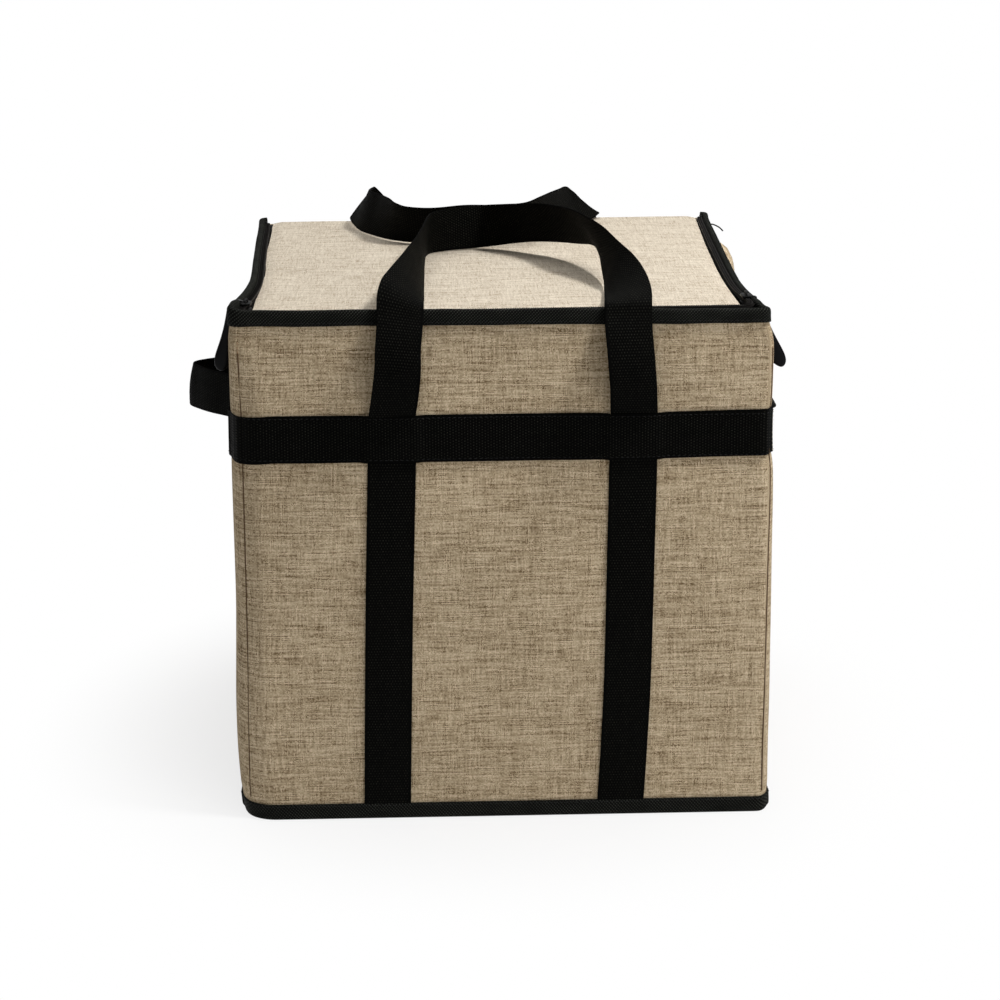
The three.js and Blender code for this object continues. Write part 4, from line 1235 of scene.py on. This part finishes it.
class BAG_OT_side_handles(BagStep):
    """Grab loops on the sides, with the sewn ends that hold them."""

    bl_idname = "bag.side_handles"
    bl_label = "Side loops"

    def execute(self, context):
        for word, side, top_reach, low_reach, top_drop, low_drop in (
                ("left", -1, 1.08, 0.99, -1.0, 0.0), ("right", 1, 0.36, 0.66, 12.0, 9.0)):
            stations = []
            for y, top_out, low_out in LOOP_SHAPE:
                column = side_column(side, y)
                low, high = (wall_point(column, z, -LOOP_OUT) for z in (BAND_LOW + 0.4, BAND_HIGH - 0.4))
                low += Vector((side * low_reach * low_out, 0, -low_drop * low_out / 42))
                high += Vector((side * top_reach * top_out, 0, -top_drop * top_out / 36))
                stations.append((low, high - low))

            def belly(share, run, bulge=2.4 if side < 0 else 0.8):
                return -side * bulge * math.sin(math.pi * share) * math.exp(-(((run - 96) / 34) ** 2))

            mesh = ribbon_mesh(stations, step=HANDLE_STEP, crumple=belly)
            handle = f"{word}_side_handle"
            set_down(mesh, f"{word}_loop_webbing", "black webbing", handle, handle)
            rows = []
            for end in ("front", "rear"):
                node = f"{word}_handle_{end}_tab"
                low_y, high_y = level(node, 0, "y"), level(node, 1, "y")
                stations = []
                for k in range(7):
                    column = side_column(side, low_y + (high_y - low_y) * k / 6)
                    low, high = (wall_point(column, z, -TAB_OUT) for z in (BAND_LOW + 0.2, BAND_HIGH - 0.2))
                    stations.append((low, high - low))
                mesh = ribbon_mesh(stations, step=HANDLE_STEP)
                set_down(mesh, f"{word}_{end}_tab_webbing", "black webbing", node)
                corners = [(low_y + 3, BAND_LOW + 4), (high_y - 3, BAND_LOW + 4), (high_y - 3, BAND_HIGH - 4),
                           (low_y + 3, BAND_HIGH - 4)]
                for a, b in ((0, 1), (1, 2), (2, 3), (3, 0), (0, 2), (1, 3)):
                    row = []
                    for k in range(5):
                        y, z = (corners[a][n] + (corners[b][n] - corners[a][n]) * k / 4 for n in (0, 1))
                        row += stitch_row([side_column(side, y)], z, -3.95)
                    rows.append(row)
            stitches(rows, f"{word}_tab_stitches", "dark thread")
        return {"FINISHED"}


def lid_height(x, y):
    """Level of the lid's outer face."""
    place = Vector((x, y, 0))
    ripple = 0.35 * noise.noise(place / 46 + Vector((5, 1, 0)))
    left = ease(-60, -172, x) * math.sin((x * 0.55 + y * 0.42) / 7.5) * ease(-185, -150, y) * (1 - ease(-60, 60, y))
    edge = min(x - lid_edge(-1, y), lid_edge(1, y) - x, y - LID_FRONT)
    roll = 1.5 * (1 - ease(0, 7, edge))
    crown = 0.5 * (1 - (x / 180) ** 2) * (1 - (y / 190) ** 2)
    return LID_TOP + crown + ripple + 0.45 * left - roll


class BAG_OT_lid(BagStep):
    """Lid: its cover runs over the hinge fold onto the back wall, with foam and foil under it."""

    bl_idname = "bag.lid"
    bl_label = "Lid"

    def execute(self, context):
        columns, top_rows, fold_rows, hem_rows = 96, 100, 8, 6
        back, radius = HALF - 6.0, 7.0
        rows = top_rows + fold_rows + hem_rows

        def line(row):
            """Place along the lid's top, and the number of rows past the start of the fold."""
            if row <= top_rows:
                return LID_FRONT + (back - LID_FRONT) * row / top_rows, 0
            return back, row - top_rows

        def place(column, row):
            y, past = line(row)
            x = lid_edge(-1, y) + (lid_edge(1, y) - lid_edge(-1, y)) * (column / columns)
            z = lid_height(x, y)
            if past == 0:
                return (x, y, z)
            if past <= fold_rows:
                angle = math.pi / 2 * past / fold_rows
                return (x, y + radius * math.sin(angle), z - radius + radius * math.cos(angle))
            return (x, y + radius + 0.1, z - radius - (past - fold_rows) * 2.0)

        lengths = [0.0]
        for row in range(1, rows + 1):
            here, before = (Vector(place(columns // 2, r)) for r in (row, row - 1))
            lengths.append(lengths[-1] + (here - before).length)

        def pattern(column, row):
            return (place(column, min(row, top_rows))[0] * MM, lengths[row] * MM)

        mesh = cloth_grid(columns, rows, place, pattern)
        face_up(mesh)
        thicken(mesh, COVER_THICK)
        cover = set_down(mesh, "lid_cover", "lid weave", "lid_panel", body=None, sharp=60)
        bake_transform(cover)
        row = [(Vector((-178 + 356 * k / 39, HALF + 1.35, HINGE_SEAM)), Vector((0, 1, 0))) for k in range(40)]
        stitches([row], "hinge_stitches", "brown thread")
        self.layers()
        return {"FINISHED"}

    def layers(self):
        low, high = (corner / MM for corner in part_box("lid_foam"))
        count = 44
        for name, node, look, bottom, top, inset, last in (
                ("lid_pad", "lid_foam", "foam sheet", low.z, high.z - 0.3, 4.0, high.y),
                ("lid_film", "lid_lining", "foil film", LID_UNDER, LID_UNDER + 0.6, 1.0, level("lid_lining", 1, "y"))):

            def place(column, row, inset=inset, last=last, bottom=bottom, name=name):
                y = LID_FRONT + inset + (last - LID_FRONT - inset) * row / count
                left, right = lid_edge(-1, y) + inset, lid_edge(1, y) - inset
                x = left + (right - left) * column / count
                lift = 0.25 * fuzz(x / 30, y / 30, 6.0) if name == "lid_film" else 0.0
                return (x, y, bottom - lift)

            mesh = cloth_grid(count, count, place, lambda c, r: (c * 0.008, r * 0.008))
            face_up(mesh)
            thicken(mesh, bottom - top)
            piece = set_down(mesh, name, look, node, "lid")


class BAG_OT_zip(BagStep):
    """Zip tapes, the two rows of coil and the end stops."""

    bl_idname = "bag.zip"
    bl_label = "Zip"

    def execute(self, context):
        rail = zip_line()
        low = COIL_LOW - 0.1
        section = ((-0.35, low), (-3.3, low), (-3.3, COIL_LOW - 0.8), (-0.35, COIL_LOW - 0.8))
        set_down(swept_rail(rail, section), "rim_zip_tape", "zip tape", "body_zip_tape")
        section = ((0.35, low), (0.35, COIL_LOW - 0.7), (2.3, COIL_LOW - 0.8), (2.3, LID_UNDER + 0.2),
                   (2.9, LID_UNDER + 0.2), (2.9, COIL_LOW - 0.9), (2.9, COIL_LOW - 0.6), (2.0, low))
        set_down(swept_rail(rail, section), "lid_edge_tape", "zip tape", "lid_zip_tape", "lid")
        zip_teeth(rail, -1, "rim_coil", "bag_body", "body_zip_coil")
        zip_teeth(rail, 1, "lid_coil", "lid", "lid_zip_coil", phase=0.5)
        for word, side, end in (("left", -1, rail[0]), ("right", 1, rail[-1])):
            mesh = new_mesh()
            centre = Vector((end.x + side * 1.2, end.y + 2.4, COIL_LOW + 1.0)) * MM
            size = Matrix.Diagonal((2.4 * MM, 4 * MM, 2.2 * MM, 1))
            bmesh.ops.create_cube(mesh, size=1.0, matrix=Matrix.Translation(centre) @ size)
            round_edges(mesh, 0.5)
            set_down(mesh, f"{word}_end_stop", "black metal", f"{word}_zip_stop")
        loose = [(194.0, 192.5, 378.3), (197.5, 193.0, 379.0), (201.3, 192.5, 377.8), (204.8, 191.5, 375.8),
                 (207.3, 190.5, 373.2)]
        set_down(rod(loose, 0.6), "tape_end_thread", "dark thread", "body_zip_tape")
        return {"FINISHED"}


def slab(points, low, high, bevel):
    """Plate from an outline seen from above, with rounded edges."""
    mesh = new_mesh()
    face = mesh.faces.new([mesh.verts.new(Vector((x, y, low)) * MM) for x, y in points])
    raise_face(mesh, face, high - low)
    bmesh.ops.recalc_face_normals(mesh, faces=mesh.faces)
    round_edges(mesh, bevel)
    return mesh


class BAG_OT_pulls(BagStep):
    """Zip sliders with their links and moulded grips."""

    bl_idname = "bag.pulls"
    bl_label = "Sliders and pulls"

    def execute(self, context):
        for word, side, shift in (("left", -1, 2.2), ("right", 1, -3.2)):
            low, high = (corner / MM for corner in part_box(f"{word}_zip_slider"))
            x, y = (low.x + high.x) / 2 + side * shift, (low.y + high.y) / 2
            self.slider(word, x, y)
            self.pull(word, side, x, y)
        return {"FINISHED"}

    def slider(self, word, x, y):
        shape = ((-2.6, 6.3), (-4.1, 3.4), (-4.1, -1), (-3.2, -6.3), (3.2, -6.3), (4.1, -1), (4.1, 3.4), (2.6, 6.3))
        plate = [(x + a, y + b) for a, b in shape]
        wedge = [(x - 0.6, y + 2), (x + 0.6, y + 2), (x + 0.6, y + 5.4), (x - 0.6, y + 5.4)]
        crown = COIL_LOW + 2.15
        mesh = slab(plate, crown, crown + 1.4, 0.45)
        join(mesh, slab(plate, COIL_LOW - 2.4, COIL_LOW - 1.1, 0.4))
        join(mesh, slab(wedge, COIL_LOW - 1.6, crown + 0.6, 0.1))
        arch = [(x, y - 4.2, crown + 0.8), (x, y - 4.3, crown + 2.2), (x, y - 3.2, crown + 3.2), (x, y, crown + 3.5),
                (x, y + 3.2, crown + 3.2), (x, y + 4.3, crown + 2.2), (x, y + 4.2, crown + 0.8)]
        join(mesh, rod(arch, 0.62, flat=1.5, sides=10))
        set_down(mesh, f"{word}_slider_body", "black metal", f"{word}_zip_slider", f"{word}_zip_slider")

    def pull(self, word, side, x, y):
        bar = sag(side * RIM_FACE, y, RIM_TOP).z + 0.3
        reach = abs(rim_line(side, y)) + 1.8
        angles = [2 * math.pi * k / 24 for k in range(25)]
        ring = [(x + side * 1.35 * math.cos(a), y, bar - 1.3 + 1.25 * math.sin(a)) for a in angles]
        mesh = rod(ring, 0.62, flat=1.6, sides=8)
        arm = [(x + side * 1.5, y, bar - 1.5)]
        for out, ahead, drop in ((-5.5, 1, 0.4), (-3.2, 2, 0.2), (-1.7, 2, 0.8), (-1.3, 1, 2.6), (0.5, 0, 7.2)):
            arm.append((side * (reach + out), y - ahead, bar - drop))
        join(mesh, rod(arm, 0.55, flat=2.0, sides=8))
        set_down(mesh, f"{word}_pull_hook", "black metal", f"{word}_pull_link", f"{word}_pull")
        start = reach + 1.2
        lean = (204.0 if side < 0 else 205.6) - start
        # How far down the grip a station is, its half-width and its half-depth.
        stations = ((0.0, 1.9, 2.1), (2.0, 2.5, 2.4), (8.0, 2.7, 2.3), (18.0, 3.4, 2.2), (28.0, 4.8, 2.2),
                    (35.0, 6.2, 2.35), (40.0, 6.6, 2.4), (44.0, 6.0, 2.3), (47.0, 4.4, 2.0), (49.0, 2.2, 1.4),
                    (49.6, 0.5, 0.5))
        if side < 0:
            stations = [(a * 0.98, b * 1.02, c) for a, b, c in stations]
        sides = 20

        def place(column, row):
            drop, wide, deep = stations[row]
            angle = 2 * math.pi * column / sides
            shift = lean * (drop / GRIP_LENGTH) ** 1.2
            out = start + shift + wide * math.cos(angle)
            return (side * out, y + deep * math.sin(angle), bar - 5.6 - drop * 0.97)

        mesh = cloth_grid(sides, len(stations) - 1, place, lambda c, r: (c * 0.002, r * 0.005), tube=True)
        piece = set_down(mesh, f"{word}_pull_drop", "moulded grip", f"{word}_pull_grip", f"{word}_pull", sharp=70)
        smooth = piece.modifiers.new("Smooth", "SUBSURF")
        smooth.levels = smooth.render_levels = 1


# ---------------------------------------------------------------- floor, lamps and camera


class BAG_OT_stage(BagStep):
    """Pale floor, soft lamps and the camera at the photograph's angle."""

    bl_idname = "bag.stage"
    bl_label = "Stage"

    def execute(self, context):
        scene = context.scene
        scene.view_settings.view_transform = "Standard"
        mesh = new_mesh()
        bmesh.ops.create_grid(mesh, x_segments=2, y_segments=2, size=6.0)
        data = bpy.data.meshes.new("floor")
        mesh.to_mesh(data)
        mesh.free()
        floor = bpy.data.objects.new("floor", data)
        data.materials.append(finish("pale floor"))
        scene.collection.objects.link(floor)
        self.world(scene)
        for name, place, aim, size, power in (
                ("key lamp", (0.75, -0.40, 1.64), (0, 0, 0.39), 0.26, 22),
                ("top lamp", (-0.15, 0.6, 1.9), (0, 0.05, 0.39), 1.1, 11.5),
                ("side lamp", (1.5, -1.6, 1.0), (0, -0.1, 0.25), 0.7, 7.5)):
            light = bpy.data.lights.new(name, "AREA")
            light.shape = "DISK"
            light.size = size
            light.energy = power
            lamp = bpy.data.objects.new(name, light)
            lamp.location = place
            lamp.rotation_euler = (Vector(aim) - Vector(place)).to_track_quat("-Z", "Y").to_euler()
            scene.collection.objects.link(lamp)
        self.camera(scene)
        return {"FINISHED"}

    def world(self, scene):
        world = bpy.data.worlds.new("studio")
        scene.world = world
        world.use_nodes = True
        world.node_tree.nodes.clear()
        bench = Bench(world.node_tree)
        soft = bench.node("ShaderNodeBackground", None, {"Color": (1.0, 0.985, 0.965), "Strength": 0.28})
        white = bench.node("ShaderNodeBackground", None, {"Color": (1, 1, 1), "Strength": 1.0})
        seen = bench.node("ShaderNodeLightPath").outputs["Is Camera Ray"]
        mix = bench.node("ShaderNodeMixShader", None, [seen, soft.outputs[0], white.outputs[0]])
        bench.node("ShaderNodeOutputWorld", None, [mix.outputs[0]])

    def camera(self, scene):
        place = Vector((-0.0621, -1.8510, 0.7381))
        yaw, pitch, roll = (math.radians(a) for a in (2.049, 16.511, -0.487))
        forward = Vector((math.sin(yaw) * math.cos(pitch), math.cos(yaw) * math.cos(pitch), -math.sin(pitch)))
        right = Vector((math.cos(yaw), -math.sin(yaw), 0))
        up = right.cross(forward)
        right, up = right * math.cos(roll) + up * math.sin(roll), up * math.cos(roll) - right * math.sin(roll)
        lens = bpy.data.cameras.new("camera")
        lens.sensor_width = 36.0
        lens.lens = 85.48
        lens.clip_end = 50.0
        view = bpy.data.objects.new("camera", lens)
        turn = Matrix((right, up, -forward)).transposed().to_4x4()
        turn.translation = place
        view.matrix_world = turn
        scene.collection.objects.link(view)
        scene.camera = view


STEPS = (BAG_OT_stage, BAG_OT_walls, BAG_OT_bindings, BAG_OT_seams, BAG_OT_band, BAG_OT_straps, BAG_OT_front_handle,
         BAG_OT_back_handle, BAG_OT_side_handles, BAG_OT_lid, BAG_OT_zip, BAG_OT_pulls)


class BAG_PT_panel(bpy.types.Panel):
    """Sidebar list of the bag's pieces."""

    bl_idname = "BAG_PT_panel"
    bl_label = "Insulated bag"
    bl_space_type = "VIEW_3D"
    bl_region_type = "UI"
    bl_category = "Bag"

    def draw(self, context):
        column = self.layout.column()
        for name in BagSettings.__annotations__:
            column.prop(context.scene.bag_settings, name)
        for step in STEPS:
            column.operator(step.bl_idname)


def register():
    for item in (BagSettings, *STEPS, BAG_PT_panel):
        bpy.utils.register_class(item)
    bpy.types.Scene.bag_settings = bpy.props.PointerProperty(type=BagSettings)


def unregister():
    del bpy.types.Scene.bag_settings
    for item in reversed((BagSettings, *STEPS, BAG_PT_panel)):
        bpy.utils.unregister_class(item)


def main():
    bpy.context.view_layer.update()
    register()
    for step in STEPS:
        group, name = step.bl_idname.split(".")
        getattr(getattr(bpy.ops, group), name)()


if __name__ == "__main__":
    main()
